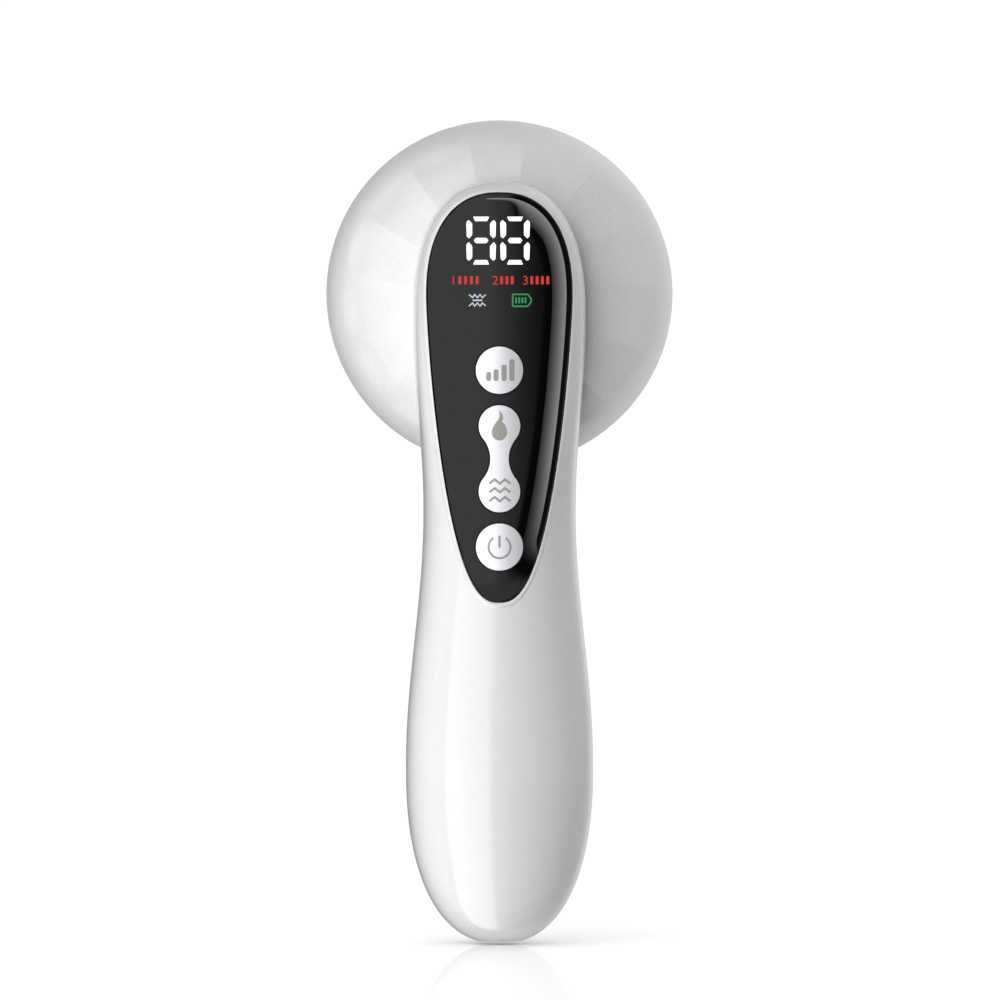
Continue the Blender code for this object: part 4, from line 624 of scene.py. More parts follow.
def buildModeMarks():
    made = [inlay("flame", inMm(softCorners(marks["flame"], 0.12, 2)), body["modeKeyZ"])]
    for low in marks["waveLows"]:
        line = [(x, low + (marks["waveRise"] if i % 2 else 0)) for i, x in enumerate(marks["waveX"])]
        made.append(inlay("wave", inMm(softCorners(ribbonOutline(line, marks["waveWidth"]), 0.1, 2)),
                          body["modeKeyZ"]))
    return join("modeMarks", made)


def buildPowerMarks():
    ring = arc(0, marks["ringZ"], marks["ringRadius"], 90 + marks["ringGap"], 450 - marks["ringGap"], 60)
    half = marks["stemWidth"] / 2
    return join("powerMarks", [
        inlay("ring", inMm(ribbonOutline(ring, marks["ringWidth"])), body["powerKeyZ"]),
        inlay("stem", inMm(barOutline(-half, half, marks["stemFoot"], marks["stemTop"], half * 0.8)),
              body["powerKeyZ"])])


# Lit signs on the panel's tinted front, in mm

display = {
    "digitX": [-3.98, 3.37], "digitZ": 152.2, "proud": 0.04 * mm, "deep": 0.1 * mm,
    "flatBar": [(-1.76, 5.2), (1.76, 5.2), (1.32, 4.21), (-1.32, 4.21)],
    "midBar": [(-1.62, 0.02), (-1.12, 0.6), (1.12, 0.6), (1.62, 0.02), (1.12, -0.58), (-1.12, -0.58)],
    "highBar": [(-3.22, 3.96), (-2.74, 4.5), (-1.93, 3.72), (-1.94, 1.22), (-2.62, 0.45), (-3.13, 0.88)],
    "lowBar": [(-3.22, -0.92), (-2.74, -0.28), (-1.93, -1.16), (-1.93, -3.7), (-2.6, -4.4), (-3.11, -4.03)],
    "waveX": [-6.59, -5.83, -5.38, -4.77, -4.22, -3.7, -3.0], "waveLow": 139.82, "waveHigh": 140.5,
    "waveMid": 139.25, "waveWidth": 0.27,
    "battery": [(2.85, 140.55), (6.1, 140.55), (6.86, 139.6), (6.86, 138.9), (6.1, 137.95), (2.85, 137.95)],
    "cellX": [3.6, 4.28, 4.96, 5.64], "cellWidth": 0.4, "cellLow": 138.6, "cellHigh": 139.9,
    "numeralX": [-10.7, -1.6, 4.95], "numeralSize": 2.75, "numeralZ": 142.65,
    "pipZ": (142.7, 144.5), "pipWidth": 0.62,
    "pips": [-8.6, -7.35, -6.1, -4.85, 0.45, 1.6, 2.75, 7.0, 8.15, 9.3, 10.45],
}


def panelSign(name, points, shares=(1.0,)):
    # a thin plate that follows the panel's front, out of points less than a millimetre apart
    outline = []
    for (x, z), (nextX, nextZ) in zip(points, points[1:] + points[:1]):
        pieces = max(int(math.hypot(nextX - x, nextZ - z) / 0.8), 1)
        for step in range(pieces):
            outline.append(((x + (nextX - x) * step / pieces) * mm, (z + (nextZ - z) * step / pieces) * mm))
    middleX, middleZ = [sum(values) / len(outline) for values in zip(*outline)]
    rings = [layOn(outline, panel["recess"] + display["deep"])]
    for share in shares:
        rings.append(layOn(drawIn(outline, share, middleX, middleZ), panel["recess"] - display["proud"]))
    return tidyMesh(extrudeRings(name, rings))


def buildDigits():
    made = []
    for digitX in display["digitX"]:
        shapes = [display["flatBar"], [(x, -z) for x, z in display["flatBar"]], display["midBar"]]
        for bar in (display["highBar"], display["lowBar"]):
            shapes += [bar, [(-x, z) for x, z in bar]]
        for shape in shapes:
            placed = [(digitX + x, display["digitZ"] + z) for x, z in softCorners(shape, 0.22)]
            made.append(panelSign("segment", placed, (1.0, 0.75, 0.5, 0.25, 0.05)))
    return join("displayDigits", made)


def buildWaveSign():
    xs, made = display["waveX"], []
    for way in (1, -1):
        line = []
        for i, x in enumerate(xs):
            rise = (display["waveLow"] if i % 2 else display["waveHigh"]) - display["waveMid"]
            line.append((x, display["waveMid"] + way * rise))
        made.append(panelSign("zigzag", ribbonOutline(line, display["waveWidth"])))
    made.append(panelSign("dash", barOutline(xs[1], xs[-2], display["waveMid"] - 0.17,
                                             display["waveMid"] + 0.17, 0.15, 3)))
    return join("waveSign", made)


def buildBatterySign():
    border = softCorners(display["battery"], 0.2)
    made = [panelSign("border", ribbonOutline(border[:1] + border[::-1], 0.34))]
    for x in display["cellX"]:
        made.append(panelSign("cell", barOutline(x - display["cellWidth"] / 2, x + display["cellWidth"] / 2,
                                                 display["cellLow"], display["cellHigh"], 0.1, 2)))
    return join("batterySign", made)


def buildNumerals():
    # plain figures with a row of pips each
    made = []
    for figure, x in zip("123", display["numeralX"]):
        deselectAll()
        bpy.ops.object.text_add(location=(0, 0, 0))
        text = bpy.context.object
        text.data.body = figure
        text.data.size = display["numeralSize"] * mm
        text.data.extrude = display["deep"] / 2
        bpy.ops.object.convert(target="MESH")
        text = bpy.context.object
        for vert in text.data.vertices:
            placeX, placeZ = x * mm + vert.co.x, display["numeralZ"] * mm + vert.co.y
            vert.co = (placeX, surfaceY(placeX, placeZ) + panel["recess"] + display["deep"] / 2
                       - display["proud"] - vert.co.z, placeZ)
        text.matrix_world = Matrix.Identity(4)
        made.append(tidyMesh(text))
    low, high = display["pipZ"]
    for x in display["pips"]:
        made.append(panelSign("pip", barOutline(x - display["pipWidth"] / 2, x + display["pipWidth"] / 2,
                                                low, high, 0.2, 3)))
    return join("levelNumerals", made)


# Head: faceted dome, trim ring and massage face

dome = {
    # where one radial facet meets the next, in degrees clockwise from the top
    "facetEdges": [-48, -36, -24, -11.5, -1, 10, 22, 37, 50, 61.5, 74, 86, 99, 112, 124, 136, 148, 160, 171,
                   183, 195, 207, 219, 228, 240, 252, 264, 276, 288, 300],
    "stepsPerFacet": 5, "facetDip": 0.021, "facetStart": 0.16, "startFade": 0.1, "facetEnd": 0.84,
    "endFade": 0.07, "backStep": 0.12 * mm, "rimEase": 0.2 * mm,
    "spigotDepth": 4.0 * mm, "spigotWall": 2.4 * mm,
}


def facetTurns():
    # flat facets, hung between lines of which every other one lies a little lower
    turns, dips = [], [1 - dome["facetDip"], 1.0]
    edges = [math.radians(edge) for edge in dome["facetEdges"]]
    for index, (first, last) in enumerate(zip(edges, edges[1:] + [edges[0] + math.tau])):
        here, there = dips[index % 2], dips[(index + 1) % 2]
        for step in range(dome["stepsPerFacet"]):
            turn = first + (last - first) * step / dome["stepsPerFacet"]
            turns.append((turn, here * there * math.sin(last - first)
                          / (here * math.sin(turn - first) + there * math.sin(last - turn))))
    return turns


def domeRing(turns, radius, y, share=0.0):
    # a ring of the dome, flattened to its facets by that share
    ring = []
    for turn, flat in turns:
        near = radius * (1 - share + share * flat)
        ring.append((near * math.sin(turn), y, head["z"] + near * math.cos(turn)))
    return ring


def sharpenFacets(shell):
    # the facets meet in crisp lines, which fade out before the rim
    lines = [math.radians(edge) % math.tau for edge in dome["facetEdges"]]
    for edge in shell.data.edges:
        ends = [shell.data.vertices[index].co for index in edge.vertices]
        radii = [math.hypot(end.x, end.z - head["z"]) / head["radius"] for end in ends]
        turns = [math.atan2(end.x, end.z - head["z"]) % math.tau for end in ends]
        within = dome["facetStart"] < min(radii) and max(radii) < dome["facetEnd"] + dome["endFade"] / 2
        if (within and ends[0].y < head["rimY"] and abs(turns[0] - turns[1]) < 0.001
                and min(abs(turns[0] - line) for line in lines) < 0.001):
            edge.use_edge_sharp = True
    return shell


def buildDomeShell():
    turns, rimY, spigotInner = facetTurns(), head["rimY"], plateRadius - dome["spigotWall"]
    rings = []
    for radius, y in domeProfile(0.0, 64)[:0:-1] + [(head["radius"], rimY)]:
        out = radius / head["radius"]
        rings.append(domeRing(turns, radius, y,
                              smooth(clamp((dome["facetEnd"] + dome["endFade"] - out) / dome["endFade"])
                                     * clamp((out - dome["facetStart"]) / dome["startFade"]))))
    backY, spigotY = rimY + dome["backStep"], rimY + dome["spigotDepth"]
    back = [(head["radius"] - dome["rimEase"], backY), (plateRadius, backY), (plateRadius, spigotY),
            (spigotInner, spigotY), (spigotInner, rimY - dome["spigotWall"])]
    inner = [(radius, y) for radius, y in domeProfile(-head["wall"], 24) if y < rimY - dome["spigotDepth"]]
    rings += [domeRing(turns, radius, y) for radius, y in back + inner[1:]]
    return sharpenFacets(tidyMesh(extrudeRings("domeShell", rings, fillFirst=False, fillLast=False), 24))


def buildHeadTrim():
    # a ring that leans in towards its rounded front edge
    low = head["rimY"] + body["gap"]
    high, outer, inner = low + head["ringDepth"], head["radius"], head["radius"] - head["ringWall"]
    soft, edge, inside, flat = head["ringRound"], head["ringEdge"], head["ringInner"], head["ringFlat"]
    profile = [(inner, low), (outer - edge, low), (outer, low + edge)]
    for step in range(1, 13):
        share = step / 12
        profile.append((outer - head["ringTaper"] * share ** head["taperPower"],
                        low + (high - low - soft - flat) * share))
    profile += arc(outer - head["ringTaper"] - soft, high - soft, soft, 8, 90, 8)
    profile += [(inner + inside + flat, high)] + arc(inner + inside, high - inside, inside, 100, 180, 4)
    return spinProfile("headTrim", profile, head["z"], 144, closed=True)


face = {
    "y": 27.5 * mm, "plateY": 26.0 * mm, "crown": 1.4 * mm, "thick": 3.5 * mm, "floor": 1.5 * mm,
    "heatRadius": 12.7 * mm, "heaterRadius": 10.2 * mm, "windowInner": 15.0 * mm, "windowOuter": 19.0 * mm,
    "padInner": 22.0 * mm, "padOuter": 29.4 * mm, "padHalf": 27, "padCorner": 1.2 * mm, "edge": 0.8 * mm,
    "postRadius": 2.3 * mm, "postX": 18.4 * mm, "postZ": 13.9 * mm, "postDepth": 7.0 * mm,
    "rimSoft": 0.5 * mm, "rimNick": 0.15 * mm, "lipIn": 0.1 * mm, "lipDown": 0.12 * mm,
    "windowEdge": 0.25 * mm, "windowDrop": 0.3 * mm, "windowDip": 0.04 * mm, "postLap": 0.5 * mm,
}
pocketY = face["plateY"] - face["thick"] + face["floor"]


def plateY(radius):
    return face["plateY"] - face["crown"] * (radius / plateRadius) ** 2


def padRing(index, grow, y):
    middle, spread = 90 * index + 45, face["padHalf"] + math.degrees(grow / face["padInner"])
    outline = arc(0, head["z"], face["padOuter"] + grow, middle - spread, middle + spread, 24)
    outline += arc(0, head["z"], face["padInner"] - grow, middle + spread, middle - spread, 24)
    return [(x, y, z) for x, z in softCorners(outline, face["padCorner"] + min(grow, 0), 2)]


def buildFacePlate():
    gap, back, rim = body["gap"], face["plateY"] - face["thick"], plateY(plateRadius)
    first, last, nick = plateRadius - face["rimSoft"], face["windowOuter"] + gap, face["rimNick"]
    front = [first + (last - first) * step / 14 for step in range(15)]
    profile = [(face["heaterRadius"] + gap, back), (plateRadius, back), (plateRadius, rim - face["rimSoft"]),
               (plateRadius - nick, rim - nick)] + [(radius, plateY(radius)) for radius in front]
    profile += [(last - face["lipIn"], plateY(last) - face["lipDown"]), (last - face["lipIn"], pocketY),
                (face["windowInner"] - gap, pocketY), (face["windowInner"] - gap, plateY(face["windowInner"])),
                (face["heatRadius"] + gap, plateY(face["heatRadius"])), (face["heatRadius"] + gap, pocketY),
                (face["heaterRadius"] + gap, pocketY)]
    plate = spinProfile("facePlate", profile, head["z"], 144, closed=True)
    for index in range(4):
        rings = [padRing(index, gap, y) for y in (pocketY, face["y"])]
        plate = combine(plate, tidyMesh(extrudeRings("pocket", rings)))
    for side in (-1, 1):
        outline = circleOutline(side * face["postX"], head["z"] + side * face["postZ"], face["postRadius"], 32)
        post = prism("post", outline, back - face["postDepth"], back + face["postLap"])
        plate = combine(plate, post, "UNION")
    return tidyMesh(plate, 24)


def buildPad(index):
    # an arc-shaped electrode with a rolled edge
    high, edge = face["y"], face["edge"]
    rings = [padRing(index, 0.0, pocketY + body["gap"]), padRing(index, 0.0, high - edge)]
    for step in range(1, 6):
        turn = math.radians(18 * step)
        rings.append(padRing(index, -edge * (1 - math.cos(turn)), high - edge + edge * math.sin(turn)))
    return tidyMesh(extrudeRings("padPlate%d" % (index + 1), rings))


def buildHeatDisc():
    low, high, radius, edge = pocketY + body["gap"], face["y"], face["heatRadius"], face["edge"]
    profile = [(0.0, low), (radius, low), (radius, high - edge)]
    profile += arc(radius - edge, high - edge, edge, 15, 90, 6) + [(0.0, high)]
    return spinProfile("heatDisc", profile, head["z"], 120)


def buildGlowRing():
    inner, outer = face["windowInner"], face["windowOuter"]
    low, top, edge = pocketY + body["gap"], plateY(outer), face["windowEdge"]
    drop, dip = face["windowDrop"], face["windowDip"]
    profile = [(inner, low), (outer, low), (outer, top - drop), (outer - edge, top - dip),
               ((inner + outer) / 2, top), (inner + edge, top - dip), (inner, top - drop)]
    return spinProfile("glowRing", profile, head["z"], 144, closed=True)


# Materials

def feed(node, values):
    # each value goes to the input it is named for, by a link where it comes from another node
    for socket, value in values.items():
        if isinstance(value, bpy.types.NodeSocket):
            node.id_data.links.new(value, node.inputs[socket])
        else:
            node.inputs[socket].default_value = value


def addNode(tree, kind, values={}, **settings):
    node = tree.nodes.new("ShaderNode" + kind)
    for name, value in settings.items():
        setattr(node, name, value)
    feed(node, values)
    return node


def addMath(tree, operation, *values):
    return addNode(tree, "Math", dict(enumerate(values)), operation=operation).outputs[0]


def addNoise(tree, size, detail=3.0, stretch=(1, 1, 1)):
    # noise on object coordinates, size being one grain's width
    place = addNode(tree, "TexCoord").outputs["Object"]
    scaled = addNode(tree, "Mapping", {"Vector": place, "Scale": stretch}).outputs["Vector"]
    return addNode(tree, "TexNoise", {"Vector": scaled, "Scale": 1 / size, "Detail": detail}).outputs["Fac"]


def addRange(tree, source, low, high, fromLow=0.3, fromHigh=0.7, **settings):
    values = {"Value": source, "From Min": fromLow, "From Max": fromHigh, "To Min": low, "To Max": high}
    return addNode(tree, "MapRange", values, **settings).outputs["Result"]


def addMix(tree, share, first, second):
    return addNode(tree, "Mix", {0: share, 6: first, 7: second}, data_type="RGBA").outputs[2]


def addTint(tree, source, darker, color):
    return addMix(tree, addRange(tree, source, 0, 1), (*darker, 1), (*color, 1))


def addBump(tree, source, height, strength=0.5):
    values = {"Height": source, "Distance": height, "Strength": strength}
    return addNode(tree, "Bump", values).outputs["Normal"]


def darken(color, share):
    return tuple(channel * share for channel in color)


def startMaterial(name, color, roughness, metallic=0.0, coat=0.0, coatRoughness=0.03):
    material = bpy.data.materials.new(name)
    material.use_nodes = True
    material.diffuse_color = (*color, 1)
    shader = material.node_tree.nodes["Principled BSDF"]
    feed(shader, {"Base Color": (*color, 1), "Roughness": roughness, "Metallic": metallic,
                  "Coat Weight": coat, "Coat Roughness": coatRoughness})
    return material, material.node_tree, shader


def grainedFinish(name, color, roughness, swing, dark, noise, bump, **gloss):
    # one noise swings the roughness, darkens the colour to a share and lifts a fine relief
    material, tree, shader = startMaterial(name, color, roughness, **gloss)
    grain = addNoise(tree, *noise)
    feed(shader, {"Roughness": addRange(tree, grain, roughness * swing[0], min(roughness * swing[1], 1)),
                  "Base Color": addTint(tree, grain, darken(color, dark), color)})
    if bump:
        feed(shader, {"Normal": addBump(tree, grain, *bump)})
    return material


def mouldedGloss(name, color):
    # glossy moulded plastic with a faint flow pattern under a clear skin
    return grainedFinish(name, color, 0.16, (0.85, 1.2), 0.975, (2.2 * mm,), (0.0012 * mm,), coat=0.6)


def pearlSilver(name, color):
    return grainedFinish(name, color, 0.42, (0.905, 1.095), 0.96, (0.25 * mm, 4.0), None,
                         metallic=0.4)


def polishedSteel(name, color, roughness, grain=0.1, stretch=(1, 1, 1)):
    return grainedFinish(name, color, roughness, (0.75, 1.4), 1 - grain, (0.9 * mm, 4.0, stretch),
                         (0.003 * mm, 3 * grain), metallic=1.0)


def grainedMatt(name, color, roughness=0.55, grain=0.5 * mm, height=0.02 * mm):
    return grainedFinish(name, color, roughness, (0.85, 1.2), 0.82, (grain, 4.0), (height,))


def pearlPlastic(name, color):
    # satin pearl: fine bright grain over slow clouds, under a soft skin
    material, tree, shader = startMaterial(name, color, 0.42, coat=0.35, coatRoughness=0.28)
    grain, cloud = addNoise(tree, 0.5 * mm, 5.0), addNoise(tree, 5 * mm, 2.0)
    both = addMath(tree, "ADD", addRange(tree, grain, 0, 0.7), addRange(tree, cloud, 0, 0.3))
    feed(shader, {"Sheen Weight": 0.08, "Roughness": addRange(tree, grain, 0.34, 0.5),
                  "Base Color": addMix(tree, both, (*darken(color, 0.88), 1), (*color, 1)),
                  "Normal": addBump(tree, grain, 0.006 * mm)})
    return material


def blackGlass(name):
    material, tree, shader = startMaterial(name, (0.0015, 0.0015, 0.0018), 0.06)
    feed(shader, {"Roughness": addRange(tree, addNoise(tree, 9 * mm), 0.02, 0.05)})
    return material


def litSign(name, color, strength):
    # a lamp's glow seen through the tinted front
    material, tree, shader = startMaterial(name, (0.01, 0.01, 0.01), 0.3)
    feed(shader, {"Emission Strength": strength,
                  "Emission Color": addTint(tree, addNoise(tree, 1.5 * mm), darken(color, 0.9), color)})
    return material


def clearRed(name):
    material, tree, shader = startMaterial(name, (0.62, 0.02, 0.02), 0.18, coat=0.5)
    feed(shader, {"Emission Strength": 0.35, "Emission Color": (0.9, 0.03, 0.02, 1),
                  "Base Color": addTint(tree, addNoise(tree, 3 * mm), (0.5, 0.012, 0.012), (0.7, 0.03, 0.03))})
    return material


def woundCopper(name):
    material, tree, shader = startMaterial(name, (0.7, 0.3, 0.14), 0.3, metallic=1.0)
    turns = addNoise(tree, 0.4 * mm, 2.0, (1, 8, 1))
    feed(shader, {"Base Color": addTint(tree, turns, (0.5, 0.18, 0.07), (0.8, 0.38, 0.18)),
                  "Normal": addBump(tree, turns, 0.03 * mm, 0.6)})
    return material


def buildMaterials():
    return {
        "white_gloss": mouldedGloss("whiteGloss", (0.69, 0.69, 0.695)),
        "pearl_white": pearlPlastic("pearlWhite", (0.745, 0.745, 0.75)),
        "bright_trim": polishedSteel("brightTrim", (0.8, 0.81, 0.83), 0.14, 0.02),
        "black_gloss": blackGlass("blackGlass"),
        "key_silver": pearlSilver("keySilver", (0.73, 0.733, 0.765)),
        "stainless": polishedSteel("stainless", (0.66, 0.65, 0.63), 0.2, stretch=(1, 1, 18)),
        "plain_steel": polishedSteel("plainSteel", (0.5, 0.5, 0.52), 0.35),
        "soft_rubber": grainedMatt("softRubber", (0.5, 0.51, 0.52), 0.7),
        "dark_plastic": grainedMatt("darkPlastic", (0.02, 0.02, 0.022), 0.45),
        "clear_red": clearRed("clearRed"),
        "circuit_green": grainedMatt("circuitGreen", (0.012, 0.13, 0.05), 0.3, 1.2 * mm),
        "copper_wire": woundCopper("copperWire"),
        "lead_red": grainedMatt("leadRed", (0.5, 0.02, 0.015), 0.4),
        "lead_black": grainedMatt("leadBlack", (0.015, 0.015, 0.016), 0.4),
        "cell_wrap": grainedMatt("cellWrap", (0.03, 0.16, 0.45), 0.25, 2 * mm, 0.005 * mm),
    }


def dress(piece, material):
    piece.data.materials.clear()
    piece.data.materials.append(material)
    for polygon in piece.data.polygons:
        polygon.material_index = 0


def stand(piece, bodyName, slot, material, *nodes):
    # a finished piece takes its body, its finish and the nodes it stands for
    dress(piece, material)
    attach(piece, bodyName)
    if nodes:
        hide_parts(*nodes)
    return piece


# Studio

view = {"far": 7.0, "wide": 217.6 * mm, "middle": 95.8 * mm, "right": 0.11 * mm, "lookDown": 0.35}

sky = {
    "turns": [0, 25, 60, 90, 110, 178.5, 180, 181.4, 182.7, 184, 185.3, 186.6, 188, 200, 270, 310, 335, 360],
    "tones": [0.45, 0.1, 0.1, 0.5, 1.0, 1.0, 0.75, 0.56, 0.35, 0.23, 0.14, 0.07, 0.03, 0.02, 0.12, 0.6,
              0.9, 0.45],
    "seenWhite": 1.04,
}


def buildCamera():
    camera = bpy.data.objects.new("camera", bpy.data.cameras.new("camera"))
    bpy.context.scene.collection.objects.link(camera)
    camera.data.sensor_width = 36
    camera.data.lens = 36 * view["far"] / view["wide"]
    camera.data.clip_end = 100
    drop = math.radians(view["lookDown"])
    camera.location = (view["right"], -view["far"], view["middle"] + view["far"] * math.tan(drop))
    camera.rotation_euler = (math.radians(90) - drop, 0, 0)
    bpy.context.scene.camera = camera
    bpy.context.scene.view_settings.view_transform = "Standard"


def buildSurround():
    # tones round the horizon, from straight behind over the left, the front and the right
    world = bpy.data.worlds.new("surround")
    bpy.context.scene.world = world
    world.use_nodes = True
    tree = world.node_tree
    parts = addNode(tree, "SeparateXYZ", {0: addNode(tree, "TexCoord").outputs["Generated"]}).outputs
    level = addMath(tree, "COSINE", addMath(tree, "ARCSINE", parts["Z"]))
    turn = addMath(tree, "ARCTAN2", addMath(tree, "MULTIPLY", level, parts["X"]),
                   addMath(tree, "MULTIPLY", parts["Y"], -1))
    ramp = addNode(tree, "ValToRGB", {0: addRange(tree, turn, 0, 1, -math.pi, math.pi)})
    marks = ramp.color_ramp.elements
    for index, (angle, tone) in enumerate(zip(sky["turns"], sky["tones"])):
        mark = marks[index] if index < 2 else marks.new(1.0)
        mark.position, mark.color = angle / 360, (tone, tone, tone, 1)
    seen = addNode(tree, "LightPath").outputs["Is Camera Ray"]
    white = (*[sky["seenWhite"]] * 3, 1)
    feed(tree.nodes["Background"], {"Color": addMix(tree, seen, ramp.outputs["Color"], white)})


def gather(name, pieces):
    group = bpy.data.collections.new(name)
    for piece in pieces:
        group.objects.link(piece)
    return group


def lightOnly(light, pieces):
    light.light_linking.receiver_collection = gather(light.name + "Pieces", pieces)


softboxes = {
    # degrees round from the camera to the left, distance, width, height, rise, power
    "key": (33, 1.2, 1.3, 1.5, 0.95, 10.5), "veil": (33, 1.2, 1.3, 1.5, 0.95, 10),
    "metal": (33, 1.2, 1.3, 1.5, 0.75, 24), "side": (-100, 1.2, 1.2, 1.6, 0.2, 31),
    "fill": (-174, 1.3, 0.8, 0.8, 0.52, 14), "rear": (-174, 1.3, 0.8, 0.8, 0.52, 10),
    "aimZ": 90 * mm, "edge": 0.4,
}


def buildSoftbox(name, pieces, mirrored=True):
    # a wide softbox, dimmer towards its edges
    turn, far, wide, high, rise, power = softboxes[name]
    light = bpy.data.objects.new(name + "Softbox", bpy.data.lights.new(name + "Softbox", "AREA"))
    bpy.context.scene.collection.objects.link(light)
    light.data.shape = "RECTANGLE"
    light.data.size, light.data.size_y, light.data.energy = wide, high, power
    light.visible_glossy = mirrored
    light.location = (-far * math.sin(math.radians(turn)), -far * math.cos(math.radians(turn)), rise)
    aim = Vector((0, 0, softboxes["aimZ"])) - light.location
    light.rotation_euler = aim.to_track_quat("-Z", "Y").to_euler()
    light.data.use_nodes = True
    tree = light.data.node_tree
    parts = addNode(tree, "SeparateXYZ", {0: addNode(tree, "NewGeometry").outputs["Parametric"]}).outputs
    fades = [addRange(tree, addMath(tree, "PINGPONG", parts[side], 0.5), 0, 1, 0, softboxes["edge"],
                      interpolation_type="SMOOTHSTEP") for side in "XY"]
    feed(tree.nodes["Emission"], {"Strength": addMath(tree, "MULTIPLY", *fades)})
    lightOnly(light, pieces)
    return light


def glowCard(name, rows, glows, power, pieces):
    # a glowing sheet that only the given pieces mirror, and that rays pass through
    wide = len(rows[0])
    faces = [(up * wide + side, up * wide + side + 1, (up + 1) * wide + side + 1, (up + 1) * wide + side)
             for up in range(len(rows) - 1) for side in range(wide - 1)]
    mesh = bpy.data.meshes.new(name)
    mesh.from_pydata([point for row in rows for point in row], [], faces)
    glow = mesh.attributes.new("glow", "FLOAT", "POINT")
    glow.data.foreach_set("value", [value for row in glows for value in row])
    card = bpy.data.objects.new(name, mesh)
    bpy.context.scene.collection.objects.link(card)
    material = bpy.data.materials.new(name)
    material.use_nodes = True
    tree = material.node_tree
    tree.nodes.remove(tree.nodes["Principled BSDF"])
    level = addMath(tree, "MULTIPLY", addNode(tree, "Attribute", attribute_name="glow").outputs["Fac"], power)
    total = addNode(tree, "AddShader", {0: addNode(tree, "Emission", {"Strength": level}).outputs[0],
                                        1: addNode(tree, "BsdfTransparent").outputs[0]})
    feed(tree.nodes["Material Output"], {"Surface": total.outputs[0]})
    mesh.materials.append(material)
    card.visible_camera = card.visible_shadow = False
    lightOnly(card, pieces)
    return card


def roundPoint(far, rise, turn, z=0.0):
    # a place that far out, both angles in radians, the turn from behind over the right
    level = far * math.cos(rise)
    return (level * math.sin(turn), level * math.cos(turn), z + far * math.sin(rise))


strip = {
    "far": 0.9, "z": 40 * mm, "from": 4, "to": 48, "top": 16, "foot": -86, "flare": 42, "flareFrom": 0.5,
    "fade": 0.18, "glow": 2.0,
}


def buildStripCard(pieces, steps=48, sides=16):
    # a tall strip at the front left that runs on below the floor, for the tail's highlight
    rows, glows = [], []
    for up in range(steps + 1):
        rise = math.radians(strip["foot"] + (strip["top"] - strip["foot"]) * up / steps)
        wide = strip["to"] - strip["from"] + strip["flare"] * max(-rise - strip["flareFrom"], 0)
        turns = [math.pi + math.radians(strip["from"] + wide * side / sides) for side in range(sides + 1)]
        rows.append([roundPoint(strip["far"], rise, turn, strip["z"]) for turn in turns])
        glows.append([min(1.0, (steps - up) / (steps * strip["fade"]))] * (sides + 1))
    glowCard("stripCard", rows, glows, strip["glow"], pieces)


crescent = {
    "far": 4.0, "z": 128 * mm, "inner": 21, "outer": 52, "top": 96, "thinFrom": 50, "foot": -23, "fade": 15,
    "low": 0.12, "swell": 13, "swellAt": 50, "swellWide": 34, "swellDim": 0.09, "glow": 5.8,
}


def buildCrescentCard(pieces, steps=72, bands=12):
    # an arc round the camera's right side, brighter outwards, that thins out above and fades below
    far, top, foot, outer = (crescent[part] for part in ("far", "top", "foot", "outer"))
    rows, glows = [], []
    for step in range(steps + 1):
        angle = top + (foot - top) * step / steps
        thin = clamp((angle - crescent["thinFrom"]) / (top - crescent["thinFrom"])) ** 1.3
        fade = clamp((angle - foot) / crescent["fade"]) ** 1.5
        swell = smooth(1 - abs(angle - crescent["swellAt"]) / crescent["swellWide"])
        inner = crescent["inner"] + (outer - crescent["inner"]) * thin - crescent["swell"] * swell
        low = crescent["low"] - crescent["swellDim"] * swell
        row, levels = [], []
        for band in range(bands + 1):
            across = far * math.tan(math.radians(inner + (outer + 1 - inner) * band / bands))
            row.append((across * math.cos(math.radians(angle)), -far,
                        crescent["z"] + across * math.sin(math.radians(angle))))
            levels.append((low + (1 - low) * (band / bands) ** 1.3) * fade)
        rows.append(row)
        glows.append(levels)
    glowCard("crescentCard", rows, glows, crescent["glow"], pieces)


ground = {
    "wide": 3.0, "deep": 1.2, "y": -0.3, "tilt": 3.5, "tone": 0.86, "shine": 0.2,
    "vaultFar": 2.5, "vaultFoot": 2, "vaultTop": 89.5, "vaultGlow": 0.87,
}


def buildFloor():
    # a small pale floor that falls a little towards the camera
    deselectAll()
    bpy.ops.mesh.primitive_plane_add(size=1, location=(0, ground["y"], 0))
    floor = bpy.context.object
    floor.name, floor.scale = "floor", (ground["wide"], ground["deep"], 1)
    bpy.ops.object.transform_apply()
    floor.rotation_euler = (math.radians(ground["tilt"]), 0, 0)
    bpy.ops.object.transform_apply()
    material, tree, shader = startMaterial("floorWhite", [ground["tone"]] * 3, 0.6)
    feed(shader, {"Specular IOR Level": 0.0})
    shine = addNode(tree, "BsdfGlossy", {"Roughness": 0.04})
    mix = addNode(tree, "MixShader", {0: ground["shine"], 1: shader.outputs[0], 2: shine.outputs[0]})
    feed(tree.nodes["Material Output"], {"Surface": mix.outputs[0]})
    dress(floor, material)
    floor.visible_glossy = floor.visible_diffuse = False
    return floor


def buildFloorSky(floor, steps=12, sides=24):
    # an even white vault that only lights the floor and is only mirrored by it
    low, high = math.radians(ground["vaultFoot"]), math.radians(ground["vaultTop"])
    rows = [[roundPoint(ground["vaultFar"], low + (high - low) * up / steps, math.tau * side / sides)
             for side in range(sides + 1)] for up in range(steps + 1)]
    return glowCard("floorSky", rows, [[1.0] * (sides + 1)] * (steps + 1), ground["vaultGlow"], [floor])


# Putting it together

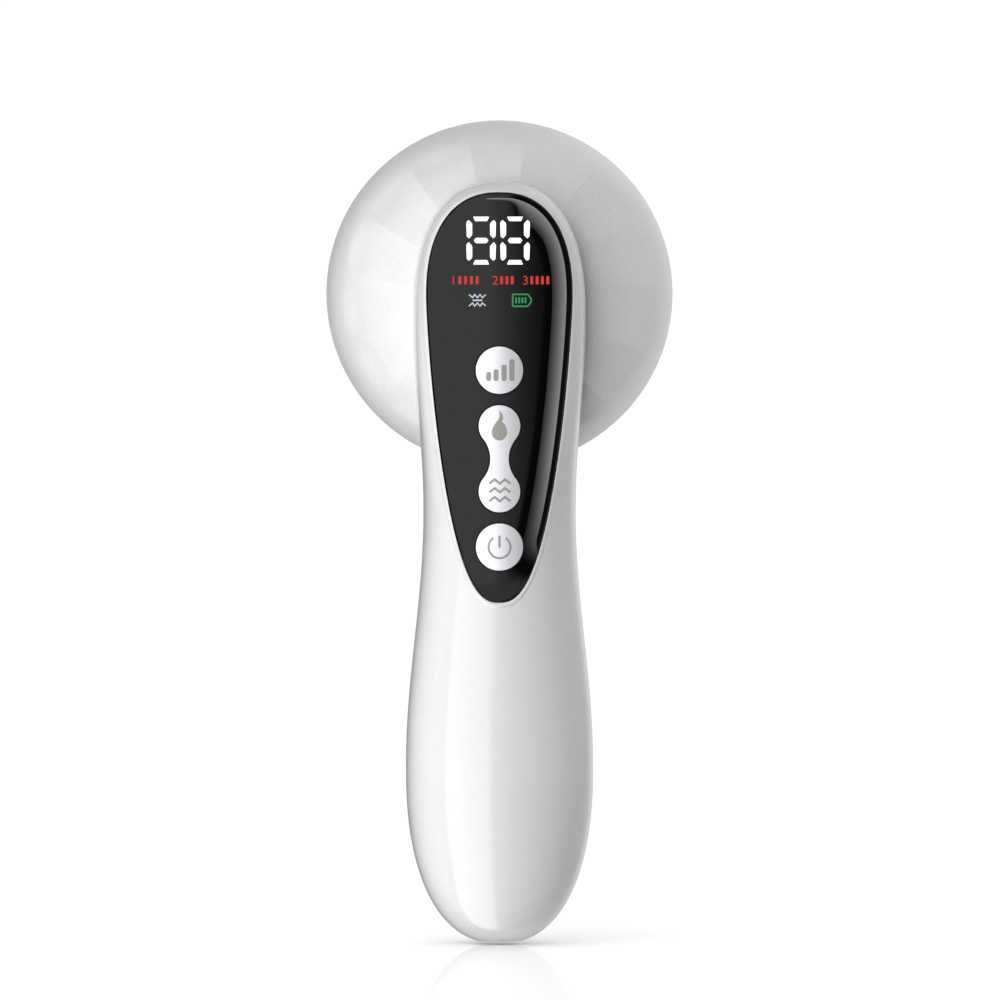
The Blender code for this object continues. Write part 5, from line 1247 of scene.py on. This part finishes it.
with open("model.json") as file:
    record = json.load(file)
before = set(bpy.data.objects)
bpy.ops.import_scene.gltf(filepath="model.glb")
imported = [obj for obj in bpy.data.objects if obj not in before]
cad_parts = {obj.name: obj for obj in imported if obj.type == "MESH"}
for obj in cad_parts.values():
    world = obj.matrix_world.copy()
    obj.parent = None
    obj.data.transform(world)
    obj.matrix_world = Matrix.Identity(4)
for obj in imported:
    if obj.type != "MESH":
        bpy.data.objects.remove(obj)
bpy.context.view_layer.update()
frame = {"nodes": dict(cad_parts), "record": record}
finishes = buildMaterials()
for entry in frame["record"]["subparts"]:
    dress(frame["nodes"][entry["node"]], finishes[entry["material_slot"]])

print("camera and floor")
buildCamera()
buildSurround()
floor = buildFloor()

print("housings")
white, pearl = finishes["white_gloss"], finishes["pearl_white"]
frontShell = stand(buildFrontShell(), "case", "white_gloss", white, "front_housing")
rearShell = stand(buildRearShell(), "case", "white_gloss", white, "rear_housing")
stand(buildPanelLip(), "case", "white_gloss", white)

print("head")
stand(buildDomeShell(), "case", "pearl_white", pearl, "dome_cover")
headTrim = stand(buildHeadTrim(), "case", "bright_trim", finishes["bright_trim"], "head_ring")
stand(buildFacePlate(), "case", "white_gloss", white, "massage_plate")
pads = [stand(buildPad(index), "case", "stainless", finishes["stainless"],
              "electrode_pad_%d" % (index + 1)) for index in range(4)]
heatDisc = stand(buildHeatDisc(), "case", "stainless", finishes["stainless"], "heat_plate")
stand(buildGlowRing(), "case", "clear_red", finishes["clear_red"], "light_window")

print("panel and keys")
silver = finishes["key_silver"]
panelLens = stand(buildPanelLens(), "case", "black_gloss", finishes["black_gloss"], "control_panel")
levelCap = stand(buildKey("levelCap", circleOutline(0, body["levelKeyZ"], keys["levelRadius"], 128),
                          body["levelKeyZ"]), "level_key", "key_silver", silver, "level_button")
powerCap = stand(buildKey("powerCap", circleOutline(0, body["powerKeyZ"], keys["powerRadius"], 128),
                          body["powerKeyZ"]), "power_key", "key_silver", silver, "power_button")
modeCap = stand(buildKey("modeCap", modeOutline(0.0), body["modeKeyZ"]), "mode_rocker", "key_silver",
                silver, "mode_key")
printGrey = grainedMatt("printGrey", (0.33, 0.33, 0.315), 0.5, 0.3 * mm, 0.002 * mm)
stand(buildLevelMarks(), "level_key", "key_silver", printGrey)
stand(buildModeMarks(), "mode_rocker", "key_silver", printGrey)
stand(buildPowerMarks(), "power_key", "key_silver", printGrey)

print("lit signs")
digits = stand(buildDigits(), "case", "black_gloss", litSign("litWhite", (1, 1, 1), 1.3))
waveSign = stand(buildWaveSign(), "case", "black_gloss", litSign("litBlueWhite", (0.62, 0.69, 0.8), 0.9))
batterySign = stand(buildBatterySign(), "case", "black_gloss", litSign("litGreen", (0.01, 0.32, 0.075), 0.9))
numerals = stand(buildNumerals(), "case", "black_gloss", litSign("litRed", (0.78, 0.012, 0.01), 0.9))

print("lights")
panelPieces = [panelLens, digits, waveSign, batterySign, numerals]
otherPieces = [piece for piece in bpy.data.objects
               if piece.type == "MESH" and piece not in panelPieces and piece is not floor]
floorSky = buildFloorSky(floor)
floorSky.light_linking.blocker_collection = gather("floorShadows", [frontShell, rearShell])
metalPieces = [levelCap, modeCap, powerCap, headTrim, heatDisc, *pads]
whitePieces = [piece for piece in otherPieces if piece not in metalPieces]
buildSoftbox("key", whitePieces, mirrored=False)
veil = buildSoftbox("veil", whitePieces, mirrored=False)
veil.light_linking.blocker_collection = gather("veilShadows", [floor])
buildSoftbox("metal", metalPieces)
buildSoftbox("side", otherPieces, mirrored=False)
buildSoftbox("fill", whitePieces, mirrored=False)
buildSoftbox("rear", metalPieces)
buildStripCard(otherPieces)
buildCrescentCard(panelPieces)
